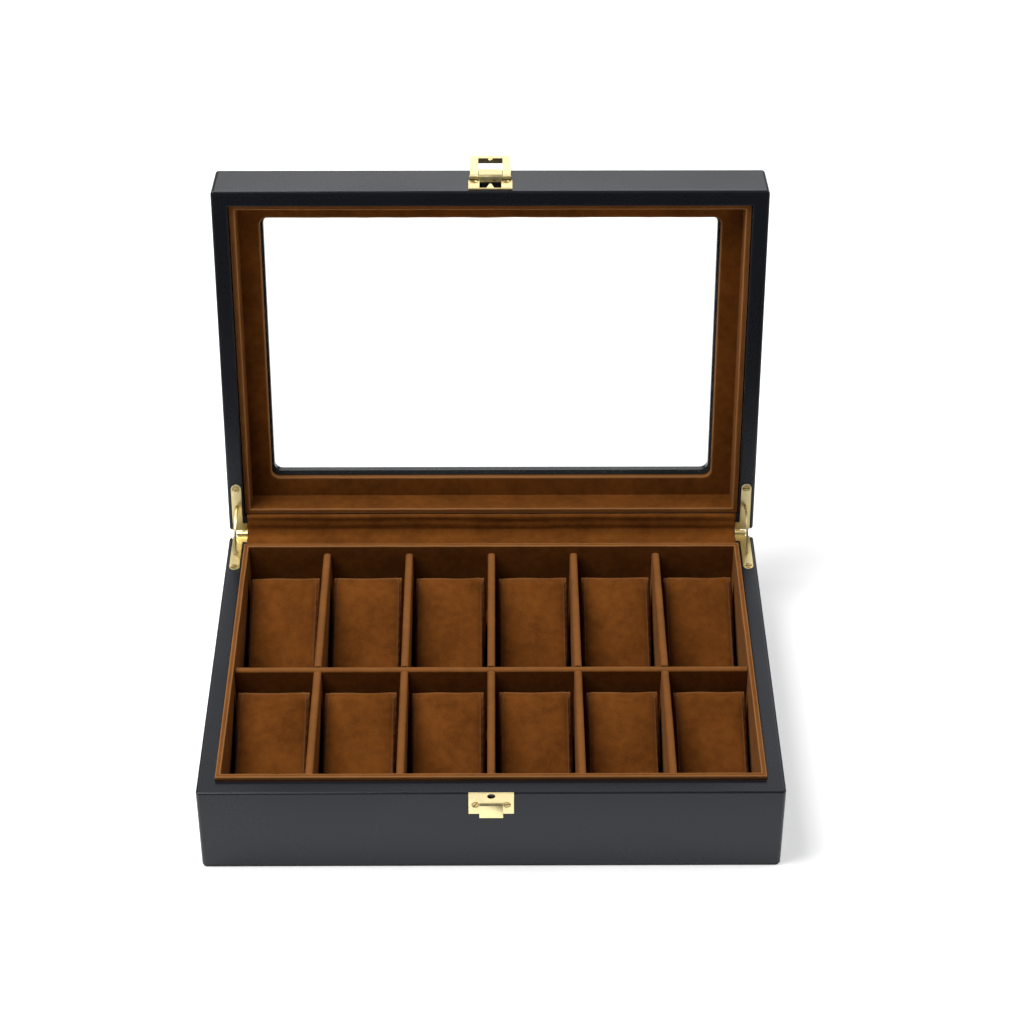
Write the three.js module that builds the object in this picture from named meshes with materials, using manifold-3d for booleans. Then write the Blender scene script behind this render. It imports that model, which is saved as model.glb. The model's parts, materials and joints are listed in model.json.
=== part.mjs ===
// Twelve-place watch box with a glazed lid, side-rail stay hinges and a swing hasp.
// Millimetres. X runs across the box, +Y is the back, +Z is up. The origin is the centre of the underside.
// The lid stands open; its parts are drawn closed, inside groups that turn about the hinge pins.
import * as THREE from "three";
import { mergeVertices } from "three/addons/utils/BufferGeometryUtils.js";
import Module from "manifold-3d";

const wasm = await Module();
wasm.setup();

// ---- driving sizes -------------------------------------------------------------------------
const WIDTH = 335; // outside, left to right
const DEPTH = 234; // outside, front to back
const BASE_HEIGHT = 58.5; // underside to base rim
const LID_HEIGHT = 33.5; // lid rim to the top of the lid
const OPEN_ANGLE = 98; // degrees from closed to the stop
const JOINT_GAP = 0.6; // between the two rims when closed
const BASE_WALL = 10.2;
const LID_WALL = 9.8;
const CORNER_RADIUS = 2.2;
const LINING = 3.2; // lining boards of the base
const LID_LINING = 3.6;
const LINING_PROUD = 2.8; // how far the base lining stands above the rim
const LID_LINING_RECESS = 3.3; // from the lid rim up to its lining
const FELT = 1.2;
const FLOOR = 5;
const FLOOR_LINING = 1.5;
const TOP_FRAME = 5; // thickness of the lid's top frame
const WINDOW_BORDER = 28; // from the outside of the box to the window
const WINDOW_RADIUS = 5;
const GLASS = 3;
const GLASS_LAP = 8; // how far the glass reaches behind the frame
const GASKET = 3;
const LINING_FRAME = 3.5;
const LINING_FRAME_STEP = 1.5; // the lining frame's opening is wider than the window by this
const DIVIDER_DROP = 4; // dividers stop below the lining's top edge
const CROSS_THICKNESS = 4.6;
const LONG_THICKNESS = 4.4;
const PLACES = 6; // places in each row
const LONG_Y = -9; // the long divider sits forward of the middle
const CUSHION_SIDE = 1; // gap between a cushion and each divider
const CUSHION_AHEAD = 6.9; // gap in front of a cushion of the front row
const CUSHION_BEHIND = { back: 12, front: 5.5 }; // gap behind the cushions of each row
const CUSHION_DROP = 11; // from the top of the dividers down to a cushion's top edge
const CUSHION_LIFT = 0.1; // gap under a seated cushion
const CUSHION_SLOPE = 20; // degrees, face falling towards the front
const CUSHION_ROUND = 4;

// ---- clearances ----------------------------------------------------------------------------
const FIT = 0.3; // beside a piece that is cut round its neighbour
const LID_FIT = 0.25; // between boards that meet in the turned lid
const MITRE = 0.05; // taken off each mitre face
const PIN_RUN = 0.08; // radial, pin to turning knuckle
const PIN_HOLD = 0.05; // radial, pin to fixed knuckle
const HEAD_FIT = 0.2; // round a screw in the metal it holds
const HEAD_SINK = 0.1; // screw heads sit this far below the metal

// ---- hinge ---------------------------------------------------------------------------------
const PIVOT_BACK = 2.6; // pin axis behind the back face
const PIN_R = 1;
const KNUCKLE_R = 2.1;
const LEAF_THICKNESS = 1.5;
const LEAF_WIDTH = 6.4;
const LEAF_INSET = 5.4; // leaf centre line from the outside of the box
const LEAF_REACH = 30; // screw centre forward of the back face
const FOOT_INSET = 11.4; // inner side of the leaf's foot
const KNUCKLE_START = 5;
const KNUCKLE_SPLIT = 8.2;
const STAY_R = 19;
const STAY_BAND = 2.4; // radial width of the stay
const STAY_THICKNESS = 1.2;
const LUG_BAND = 4.4;
const LUG_CLEAR = 0.05; // between a lug and the leaf that stops it
const LUG_SPAN = 5.8; // degrees
const STRIP_THICKNESS = 0.9;

// ---- latch ---------------------------------------------------------------------------------
const HASP_WIDTH = 24.6;
const HASP_WINDOW = 14.8;
const HASP_LENGTH = 23.4; // pin axis to the free end
const HASP_BAR = 3;
const HASP_LIP = 4; // finger lip, bent outwards at the free end
const HASP_SHEET = 1;
const HASP_KNUCKLE_R = 1.75;
const HASP_PIN_R = 0.75;
const HASP_PIN_OUT = 2.4; // pin axis out from the lid's front face
const HASP_PIN_UP = 16.5; // pin axis above the lid rim
const HASP_SWING = 170; // degrees from hanging to laid back
const PLATE_WIDTH = 26.4;
const PLATE_SHEET = 1;
const CATCH_WIDTH = 25.8;
const CATCH_HEIGHT = 15.8;
const CATCH_RISE = 0.5; // the catch stands above the base rim by this
const TAB_WIDTH = 13.5;
const TAB_CLEAR = 0.7; // from the hanging frame's end down to the tab
const TAB_LENGTH = 11;
const HOLE_DOWN = 1.75; // centre of the oval hole below the base rim
const BRIDGE_RISE = 7.3; // the bridge's end above the pin axis
const NOTCH_FOOT = 2.4; // bottom of the cut-out above the lid rim
const HOLLOW_DEEP = 3.5; // recess in the rail behind the cut-out

// ---- derived -------------------------------------------------------------------------------
const halfW = WIDTH / 2;
const halfD = DEPTH / 2;
const lidRim = BASE_HEIGHT + JOINT_GAP;
const pivotY = halfD + PIVOT_BACK;
const pivotZ = BASE_HEIGHT + JOINT_GAP / 2;
const floorTop = FELT + FLOOR;
const liningTop = BASE_HEIGHT + LINING_PROUD;
const dividerTop = liningTop - DIVIDER_DROP;
const insideW = halfW - BASE_WALL - LINING;
const insideD = halfD - BASE_WALL - LINING;
const seatZ = floorTop + FLOOR_LINING;
const placeW = (2 * insideW - (PLACES - 1) * CROSS_THICKNESS) / PLACES;
const pitch = placeW + CROSS_THICKNESS;
const rowBack = { back: insideD, front: LONG_Y - LONG_THICKNESS / 2 };
const cushionW = placeW - 2 * CUSHION_SIDE;
const cushionL = rowBack.front + insideD - CUSHION_AHEAD - CUSHION_BEHIND.front;
const cushionH = dividerTop - seatZ - CUSHION_LIFT - CUSHION_DROP;
const lugInner = STAY_R - LUG_BAND / 2;
const lugDepth = LEAF_THICKNESS + JOINT_GAP / 2 + LUG_CLEAR;
const lugFrom = THREE.MathUtils.radToDeg(Math.asin(lugDepth / lugInner));
const lugTo = lugFrom + LUG_SPAN;
const nibDown = HASP_PIN_UP + JOINT_GAP + HOLE_DOWN - 0.4;
const tabTop = HASP_LENGTH - HASP_PIN_UP - JOINT_GAP + TAB_CLEAR;
const tabBottom = tabTop + TAB_LENGTH;

// ---- finishes ------------------------------------------------------------------------------
const finish = {
  lacquer: { color: 0x3b3b40, roughness: 0.42, metalness: 0 },
  suede: { color: 0x6d3f1c, roughness: 0.95, metalness: 0 },
  cushion: { color: 0x75441d, roughness: 0.95, metalness: 0 },
  gold: { color: 0xe6cf8e, roughness: 0.3, metalness: 1 },
  glass: { color: 0xeef3f3, roughness: 0.05, metalness: 0, transparent: true, opacity: 0.3 },
  gasket: { color: 0x1c1c1e, roughness: 0.8, metalness: 0 },
  felt: { color: 0x2a2320, roughness: 1, metalness: 0 },
};

// ---- helpers -------------------------------------------------------------------------------
function node(parent, name, geometry, look) {
  const mesh = new THREE.Mesh(geometry, new THREE.MeshStandardMaterial(finish[look]));
  mesh.name = name;
  mesh.material.name = look;
  parent.add(mesh);
  return mesh;
}

function solid(geometry) {
  const plain = geometry.clone();
  plain.deleteAttribute("normal");
  plain.deleteAttribute("uv");
  const merged = mergeVertices(plain, 1e-4);
  const vertProperties = new Float32Array(merged.attributes.position.array);
  const triVerts = new Uint32Array(merged.index.array);
  return new wasm.Manifold(new wasm.Mesh({ numProp: 3, vertProperties, triVerts }));
}

function geometryOf(manifold) {
  const mesh = manifold.getMesh();
  const geometry = new THREE.BufferGeometry();
  const positions = new Float32Array(mesh.vertProperties);
  geometry.setAttribute("position", new THREE.BufferAttribute(positions, 3));
  geometry.setIndex(new THREE.BufferAttribute(new Uint32Array(mesh.triVerts), 1));
  geometry.computeVertexNormals();
  return geometry;
}

function cut(geometry, ...tools) {
  return geometryOf(tools.reduce((left, tool) => left.subtract(solid(tool)), solid(geometry)));
}

function join(geometry, ...others) {
  return geometryOf(others.reduce((whole, other) => whole.add(solid(other)), solid(geometry)));
}

function block(x0, x1, y0, y1, z0, z1) {
  const geometry = new THREE.BoxGeometry(x1 - x0, y1 - y0, z1 - z0);
  return geometry.translate((x0 + x1) / 2, (y0 + y1) / 2, (z0 + z1) / 2);
}

function extrude(points, from, to, holes = []) {
  const shape = new THREE.Shape(points);
  holes.forEach((hole) => shape.holes.push(new THREE.Path(hole)));
  const geometry = new THREE.ExtrudeGeometry(shape, { depth: to - from, bevelEnabled: false });
  return geometry.translate(0, 0, from);
}

// A profile drawn as (x, y), standing from z0 to z1.
function extrudeZ(points, z0, z1, holes) {
  return extrude(points, z0, z1, holes);
}

// A profile drawn as (y, z), running from x0 to x1.
function extrudeX(points, x0, x1, holes) {
  const turn = new THREE.Matrix4().makeBasis(
    new THREE.Vector3(0, 1, 0),
    new THREE.Vector3(0, 0, 1),
    new THREE.Vector3(1, 0, 0),
  );
  return extrude(points, x0, x1, holes).applyMatrix4(turn);
}

function arc(cx, cy, r, from, to, steps) {
  return Array.from({ length: steps + 1 }, (_, i) => {
    const a = THREE.MathUtils.degToRad(from + ((to - from) * i) / steps);
    return new THREE.Vector2(cx + r * Math.cos(a), cy + r * Math.sin(a));
  });
}

function circle(cx, cy, r, steps = 24) {
  return arc(cx, cy, r, 0, 360, steps).slice(0, -1);
}

function roundedRect(x0, x1, y0, y1, r, steps = 4) {
  return [
    ...arc(x1 - r, y1 - r, r, 0, 90, steps),
    ...arc(x0 + r, y1 - r, r, 90, 180, steps),
    ...arc(x0 + r, y0 + r, r, 180, 270, steps),
    ...arc(x1 - r, y0 + r, r, 270, 360, steps),
  ];
}

function rodX(y, z, r, x0, x1, steps = 24) {
  return extrudeX(circle(y, z, r, steps), x0, x1);
}

// Places a span measured inwards from the left (-1) or right (+1) side of the box.
function sideSpan(side, near, far) {
  const ends = [side * (halfW - near), side * (halfW - far)];
  return [Math.min(...ends), Math.max(...ends)];
}

// One board of a mitred frame, its outer face towards -Y, with half of each rounded corner.
function mitredBoard(halfLength, outer, thickness, z0, z1, mitre) {
  const r = CORNER_RADIUS;
  const shift = (p) => new THREE.Vector2(p.x - Math.sign(p.x) * mitre, p.y);
  const points = [
    new THREE.Vector2(halfLength - thickness, thickness - outer),
    new THREE.Vector2(thickness - halfLength, thickness - outer),
    ...arc(r - halfLength, r - outer, r, 225, 270, 3),
    ...arc(halfLength - r, r - outer, r, 270, 315, 3),
  ];
  return extrudeZ(points.map(shift), z0, z1);
}

function fourWalls(thickness, z0, z1, mitre) {
  const turn = (geometry, quarter) => geometry.rotateZ((quarter * Math.PI) / 2);
  return {
    front: mitredBoard(halfW, halfD, thickness, z0, z1, mitre),
    right: turn(mitredBoard(halfD, halfW, thickness, z0, z1, mitre), 1),
    back: turn(mitredBoard(halfW, halfD, thickness, z0, z1, mitre), 2),
    left: turn(mitredBoard(halfD, halfW, thickness, z0, z1, mitre), 3),
  };
}

// ---- hinge shapes, drawn on the base side; the lid side is the same turned over --------------
// Outline of a leaf seen from above, grown by an offset.
function leafOutline(side, grow) {
  const x = side * (halfW - LEAF_INSET);
  const half = LEAF_WIDTH / 2 + grow;
  const foot = side * (halfW - FOOT_INSET - grow);
  const inner = x - side * half;
  const outer = x + side * half;
  const screwY = halfD - LEAF_REACH;
  const turn = arc(x, screwY, half, 180, 360, 10);
  const points = [
    ...turn,
    new THREE.Vector2(Math.max(inner, outer), halfD - 5 - grow),
    new THREE.Vector2(Math.max(foot, outer, inner), halfD - 5 - grow),
    new THREE.Vector2(Math.max(foot, outer, inner), halfD + (grow > 0 ? 1 : 0)),
    new THREE.Vector2(Math.min(foot, outer, inner), halfD + (grow > 0 ? 1 : 0)),
    new THREE.Vector2(Math.min(foot, outer, inner), halfD - 5 - grow),
    new THREE.Vector2(Math.min(inner, outer), halfD - 5 - grow),
  ];
  const keep = (p, i) => i === 0 || p.distanceTo(points[i - 1]) > 1e-6;
  return points.filter(keep);
}

// The stay's band as a sector about the pin; angles in degrees below (-) or above (+) the rim.
function sector(inner, outer, from, to, steps) {
  const near = arc(pivotY, pivotZ, inner, 180 - from, 180 - to, steps);
  const far = arc(pivotY, pivotZ, outer, 180 - to, 180 - from, steps);
  return [...near, ...far];
}

function stayPocket(side, up) {
  const half = STAY_THICKNESS / 2 + FIT;
  const [x0, x1] = sideSpan(side, LEAF_INSET - half, LEAF_INSET + half);
  const band = LUG_BAND / 2 + 0.4;
  const reach = OPEN_ANGLE / 2 + lugTo + 2;
  const [from, to] = up ? [-4, reach] : [-reach, 4];
  return extrudeX(sector(STAY_R - band, STAY_R + band, from, to, 16), x0, x1);
}

function leafMortise(side, z0, z1) {
  return extrudeZ(leafOutline(side, FIT), z0, z1);
}

const SCREW = { headR: 2.2, headDeep: 1.1, shankR: 1.05, length: 8 };

// A countersunk slotted wood screw, head top at z = 0, point downwards.
function screwShape(size) {
  const profile = [
    new THREE.Vector2(0, -size.length),
    new THREE.Vector2(size.shankR * 0.5, 1.2 - size.length),
    new THREE.Vector2(size.shankR, 2.4 - size.length),
    new THREE.Vector2(size.shankR, -size.headDeep),
    new THREE.Vector2(size.headR, -0.15),
    new THREE.Vector2(size.headR * 0.96, 0),
    new THREE.Vector2(0, 0),
  ];
  const body = new THREE.LatheGeometry(profile, 16).rotateX(Math.PI / 2);
  const slot = block(-0.35, 0.35, -size.headR, size.headR, -0.45, 1);
  return cut(body, slot);
}

// The hole a screw needs: a clearance cone and bore, head end at z = 0.
function screwHole(size, gap) {
  const profile = [
    new THREE.Vector2(0, -size.length - gap),
    new THREE.Vector2(size.shankR + gap, -size.length - gap),
    new THREE.Vector2(size.shankR + gap, -size.headDeep - gap),
    new THREE.Vector2(size.headR + gap, -0.15),
    new THREE.Vector2(size.headR + gap, 1),
    new THREE.Vector2(0, 1),
  ];
  return new THREE.LatheGeometry(profile, 20).rotateX(Math.PI / 2);
}

function at(geometry, x, y, z) {
  return geometry.clone().translate(x, y, z);
}

// Everything cut out of the wood round one hinge; flip draws the lid's half.
function hingeCuts(side, flip) {
  const screwX = side * (halfW - LEAF_INSET);
  const screwY = halfD - LEAF_REACH;
  const hole = screwHole(SCREW, FIT);
  if (flip) {
    return [
      leafMortise(side, lidRim - 1, lidRim + LEAF_THICKNESS + LID_FIT),
      stayPocket(side, true),
      at(hole.rotateX(Math.PI), screwX, screwY, lidRim),
    ];
  }
  return [
    leafMortise(side, BASE_HEIGHT - LEAF_THICKNESS, BASE_HEIGHT + 1),
    stayPocket(side, false),
    at(hole, screwX, screwY, BASE_HEIGHT),
  ];
}

function hingeLeaf(side, flip) {
  const z0 = flip ? lidRim : BASE_HEIGHT - LEAF_THICKNESS;
  const z1 = z0 + LEAF_THICKNESS;
  const web = flip ? [z0 + 0.1, z1] : [z0, z1 - 0.1];
  const near = flip ? KNUCKLE_SPLIT + 0.1 : KNUCKLE_START;
  const far = flip ? FOOT_INSET : KNUCKLE_SPLIT - 0.1;
  const [x0, x1] = sideSpan(side, near, far);
  const bore = PIN_R + (flip ? PIN_RUN : PIN_HOLD);
  const half = STAY_THICKNESS / 2 + FIT;
  const [s0, s1] = sideSpan(side, LEAF_INSET - half, LEAF_INSET + half);
  const slotHalf = STAY_BAND / 2 + 0.3;
  const slotY = pivotY - STAY_R;
  const hole = screwHole(SCREW, HEAD_FIT);
  const seat = at(flip ? hole.rotateX(Math.PI) : hole, side * (halfW - LEAF_INSET),
    halfD - LEAF_REACH, flip ? lidRim : BASE_HEIGHT);
  const plate = join(
    extrudeZ(leafOutline(side, 0), z0, z1),
    block(x0, x1, halfD - 0.5, pivotY, web[0], web[1]),
    rodX(pivotY, pivotZ, KNUCKLE_R, x0, x1),
  );
  return cut(
    plate,
    rodX(pivotY, pivotZ, bore, x0 - 1, x1 + 1),
    block(s0, s1, slotY - slotHalf, slotY + slotHalf, z0 - 1, z1 + 1),
    seat,
  );
}

function hingePin(side) {
  const [x0, x1] = sideSpan(side, KNUCKLE_START - 0.6, FOOT_INSET + 0.6);
  return rodX(pivotY, pivotZ, PIN_R, x0, x1);
}

// The stay as it stands with the lid open: a band with a wider lug behind each leaf.
function hingeStay(side) {
  const [x0, x1] = sideSpan(
    side,
    LEAF_INSET - STAY_THICKNESS / 2,
    LEAF_INSET + STAY_THICKNESS / 2,
  );
  const lug = (from, to) =>
    extrudeX(sector(STAY_R - LUG_BAND / 2, STAY_R + LUG_BAND / 2, from, to, 3), x0, x1);
  const inner = STAY_R - STAY_BAND / 2;
  const outer = STAY_R + STAY_BAND / 2;
  const band = extrudeX(sector(inner, outer, -lugFrom - 1, OPEN_ANGLE + lugFrom + 1, 20), x0, x1);
  return join(band, lug(-lugTo, -lugFrom), lug(OPEN_ANGLE + lugFrom, OPEN_ANGLE + lugTo));
}

function hingeScrew(side, flip) {
  const screw = screwShape(SCREW);
  const x = side * (halfW - LEAF_INSET);
  const y = halfD - LEAF_REACH;
  if (flip) return at(screw.rotateX(Math.PI), x, y, lidRim + HEAD_SINK);
  return at(screw, x, y, BASE_HEIGHT - HEAD_SINK);
}

// ---- latch shapes ----------------------------------------------------------------------------
const LATCH_SCREW = { headR: 2, headDeep: 0.9, shankR: 0.9, length: 7 };
const HASP_SCREW_X = 9.8;
const HASP_SCREW_BELOW = 5.1; // below the pin axis
const CATCH_SCREW_X = 9;
const CATCH_SCREW_DOWN = 8.3;

// Turns a screw or hole so that its head faces the front.
function facingFront(geometry) {
  return geometry.rotateX(Math.PI / 2);
}

function haspScrewSpots() {
  const y = -halfD - LID_FIT - PLATE_SHEET;
  return [-1, 1].map((s) => [s * HASP_SCREW_X, y, lidRim + HASP_PIN_UP - HASP_SCREW_BELOW]);
}

function catchScrewSpots() {
  return [-1, 1].map((s) => [s * CATCH_SCREW_X, -halfD - PLATE_SHEET, BASE_HEIGHT - CATCH_SCREW_DOWN]);
}

const haspY = -halfD - HASP_PIN_OUT;
const haspZ = lidRim + HASP_PIN_UP;

// The fixed plate: a screwed sheet with a cut-out, rising to a bridge over the pin.
function haspPlate() {
  const back = -halfD - LID_FIT;
  const face = back - PLATE_SHEET;
  const half = PLATE_WIDTH / 2;
  const bridgeHalf = HASP_WINDOW / 2 - 0.3;
  const sheet = block(-half, half, face, back, lidRim + 1, haspZ - 2.3);
  const bridge = extrudeX(
    [
      new THREE.Vector2(back, haspZ - 2.9),
      new THREE.Vector2(back, haspZ + 2.1),
      new THREE.Vector2(haspY - 1.1, haspZ + 3.7),
      new THREE.Vector2(haspY - 1.1, haspZ + BRIDGE_RISE),
      new THREE.Vector2(haspY - 2, haspZ + BRIDGE_RISE),
      new THREE.Vector2(haspY - 2, haspZ - 1.1),
      new THREE.Vector2(haspY - 1.2, haspZ - 3.1),
      new THREE.Vector2(face, haspZ - 3.9),
    ],
    -bridgeHalf,
    bridgeHalf,
  );
  const notch = block(-6.6, 6.6, face - 1, back + 1, lidRim + NOTCH_FOOT, haspZ - 4.3);
  const tongueTop = haspZ - lidRim - 7.5;
  const tongue = extrude(
    [
      new THREE.Vector2(-2.4, NOTCH_FOOT - 0.4),
      new THREE.Vector2(2.4, NOTCH_FOOT - 0.4),
      new THREE.Vector2(0.5, tongueTop),
      new THREE.Vector2(-0.5, tongueTop),
    ],
    0,
    PLATE_SHEET,
  );
  tongue.rotateX(Math.PI / 2).translate(0, back, lidRim);
  const hole = facingFront(screwHole(LATCH_SCREW, HEAD_FIT));
  const crease = block(1.2 - half, half - 1.2, face - 1, face + 0.45, lidRim + 1.6, lidRim + 2.2);
  return cut(
    join(cut(join(sheet, bridge), notch, crease), tongue),
    rodX(haspY, haspZ, HASP_PIN_R + PIN_HOLD, -20, 20),
    ...haspScrewSpots().map((p) => at(hole, ...p)),
  );
}

function haspPin() {
  const half = HASP_WIDTH / 2 + 0.5;
  return rodX(haspY, haspZ, HASP_PIN_R, -half, half);
}

// The swing frame, hanging straight down from a pin at the origin: two legs, a bar and a finger lip.
function haspFrame() {
  const half = HASP_WIDTH / 2;
  const open = HASP_WINDOW / 2;
  const s = HASP_SHEET / 2;
  const barTop = HASP_BAR - HASP_LENGTH;
  const leg = (x0, x1) => block(x0, x1, -s, s, -HASP_LENGTH + 0.2, 0);
  const knuckle = (x0, x1) => rodX(0, 0, HASP_KNUCKLE_R, x0, x1);
  const bar = block(-half, half, -s - 0.2, s, -HASP_LENGTH, barTop);
  const lip = block(-open - 0.4, open + 0.4, -s - HASP_LIP, 0, -HASP_LENGTH, 1 - HASP_LENGTH);
  const tongue = block(-1.3, 1.3, -0.1, 0.6, barTop - 0.4, 0.3 - nibDown);
  const nib = extrude(
    [new THREE.Vector2(-1.3, -0.8), new THREE.Vector2(1.3, -0.8), new THREE.Vector2(0, 0.9)],
    0,
    1.4,
  );
  nib.rotateX(Math.PI / 2).translate(0, 1.85, -nibDown);
  const frame = join(leg(-half, -open), leg(open, half), bar, lip, tongue, nib,
    knuckle(-half, -open), knuckle(open, half));
  return cut(frame, rodX(0, 0, HASP_PIN_R + PIN_RUN, -half - 1, half + 1));
}

// The catch: a sheet with an oval hole for the nib and a raised tab that stands lower than the sheet.
function catchPlate() {
  const half = CATCH_WIDTH / 2;
  const face = -halfD - PLATE_SHEET;
  const top = BASE_HEIGHT + CATCH_RISE;
  const sheet = block(-half, half, face, -halfD, top - CATCH_HEIGHT, top);
  const tab = extrudeX(
    [
      new THREE.Vector2(face + 0.3, BASE_HEIGHT - tabTop),
      new THREE.Vector2(face - 1.1, BASE_HEIGHT - tabTop - 1.2),
      new THREE.Vector2(face - 1.1, BASE_HEIGHT - tabBottom + 0.4),
      new THREE.Vector2(face - 0.7, BASE_HEIGHT - tabBottom),
      new THREE.Vector2(face - 0.1, BASE_HEIGHT - tabBottom),
      new THREE.Vector2(face + 0.3, top - CATCH_HEIGHT + 0.6),
    ],
    -TAB_WIDTH / 2,
    TAB_WIDTH / 2,
  );
  const oval = new THREE.CylinderGeometry(1, 1, 6, 24).scale(2.3, 1, 1.85);
  oval.translate(0, face, BASE_HEIGHT - HOLE_DOWN);
  const hole = facingFront(screwHole(LATCH_SCREW, HEAD_FIT));
  return cut(join(sheet, tab), oval, ...catchScrewSpots().map((p) => at(hole, ...p)));
}

// ---- carcass -----------------------------------------------------------------------------------
const model = new THREE.Group();
model.name = "watch_box";

function buildBase() {
  const walls = fourWalls(BASE_WALL, FELT, BASE_HEIGHT, MITRE);
  const stripTop = BASE_HEIGHT + 5;
  const rebate = block(FOOT_INSET - halfW, halfW - FOOT_INSET, halfD - BASE_WALL - 1, halfD + 1,
    BASE_HEIGHT - STRIP_THICKNESS, stripTop);
  const leftCuts = hingeCuts(-1, false);
  const rightCuts = hingeCuts(1, false);
  const pocket = facingFront(screwHole({ ...LATCH_SCREW, headDeep: 0.2, headR: 0.9 }, FIT));
  const frontHoles = catchScrewSpots().map((p) => at(pocket, ...p));
  node(model, "base_wall_front", cut(walls.front, ...frontHoles), "lacquer");
  node(model, "base_wall_back", cut(walls.back, rebate, ...leftCuts, ...rightCuts), "lacquer");
  node(model, "base_wall_left", cut(walls.left, rebate, ...leftCuts), "lacquer");
  node(model, "base_wall_right", cut(walls.right, rebate, ...rightCuts), "lacquer");
  const inX = halfW - BASE_WALL;
  const inY = halfD - BASE_WALL;
  node(model, "base_floor", block(-inX, inX, -inY, inY, FELT, floorTop), "lacquer");
  const sheet = roundedRect(0.6 - halfW, halfW - 0.6, 0.6 - halfD, halfD - 0.6, CORNER_RADIUS, 4);
  node(model, "base_felt", extrudeZ(sheet, 0, FELT), "felt");
}

function buildLining() {
  const inX = halfW - BASE_WALL;
  const inY = halfD - BASE_WALL;
  const side = (s) => block(...[s * inX, s * insideW].sort((a, b) => a - b), -insideD, insideD,
    floorTop, liningTop);
  const end = (s) => block(-inX, inX, ...[s * inY, s * insideD].sort((a, b) => a - b),
    floorTop, liningTop);
  node(model, "base_lining_front", end(-1), "suede");
  node(model, "base_lining_back", end(1), "suede");
  node(model, "base_lining_left", side(-1), "suede");
  node(model, "base_lining_right", side(1), "suede");
  const sheet = block(-insideW, insideW, -insideD, insideD, floorTop, seatZ);
  node(model, "base_floor_lining", sheet, "suede");
}

function crossX(i) {
  return (i - (PLACES - 2) / 2) * pitch;
}

function buildDividers() {
  const lapZ = (seatZ + dividerTop) / 2;
  const soft = 3;
  const end = insideD - FIT;
  const slotY = LONG_THICKNESS / 2 + FIT;
  for (let i = 0; i < PLACES - 1; i++) {
    const x = crossX(i);
    const profile = [
      new THREE.Vector2(-end, seatZ),
      new THREE.Vector2(end, seatZ),
      ...arc(end - soft, dividerTop - soft, soft, 0, 90, 4),
      ...arc(soft - end, dividerTop - soft, soft, 90, 180, 4),
    ];
    const board = extrudeX(profile, x - CROSS_THICKNESS / 2, x + CROSS_THICKNESS / 2);
    const lap = block(x - 5, x + 5, LONG_Y - slotY, LONG_Y + slotY, lapZ, dividerTop + 1);
    node(model, `divider_cross_${i + 1}`, cut(board, lap), "suede");
  }
  const ends = insideW - FIT;
  const laps = Array.from({ length: PLACES - 1 }, (_, i) => {
    const half = CROSS_THICKNESS / 2 + FIT;
    return block(crossX(i) - half, crossX(i) + half, LONG_Y - 5, LONG_Y + 5, seatZ - 1, lapZ + FIT);
  });
  const long = block(-ends, ends, LONG_Y - LONG_THICKNESS / 2, LONG_Y + LONG_THICKNESS / 2,
    seatZ, dividerTop);
  node(model, "divider_long", cut(long, ...laps), "suede");
}

// Side profile of a cushion with its back foot at y = 0: a wedge with rounded edges.
function cushionProfile() {
  const r = CUSHION_ROUND;
  const fall = Math.tan(THREE.MathUtils.degToRad(CUSHION_SLOPE)) * (cushionL - 2 * r);
  const frontTop = cushionH - fall;
  const lean = 90 + CUSHION_SLOPE;
  return [
    ...arc(-r, r, r, 270, 360, 3),
    ...arc(-r, cushionH - r, r, 0, lean, 5),
    ...arc(r - cushionL, frontTop - r, r, lean, 180, 4),
    ...arc(r - cushionL, r, r, 180, 270, 3),
  ];
}

function buildCushions() {
  for (const row of ["back", "front"]) {
    const y = rowBack[row] - CUSHION_BEHIND[row];
    for (let i = 0; i < PLACES; i++) {
      const x = (i - (PLACES - 1) / 2) * pitch;
      const pad = extrudeX(cushionProfile(), x - cushionW / 2, x + cushionW / 2);
      node(model, `cushion_${row}_${i + 1}`, pad.translate(0, y, seatZ + CUSHION_LIFT), "cushion");
    }
  }
}

// ---- lid, drawn closed ---------------------------------------------------------------------------
const lid = new THREE.Group();
lid.position.set(0, pivotY, pivotZ);
lid.rotation.x = -THREE.MathUtils.degToRad(OPEN_ANGLE);
const lidParts = new THREE.Group();
lidParts.position.set(0, -pivotY, -pivotZ);
lid.add(lidParts);
model.add(lid);

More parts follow.
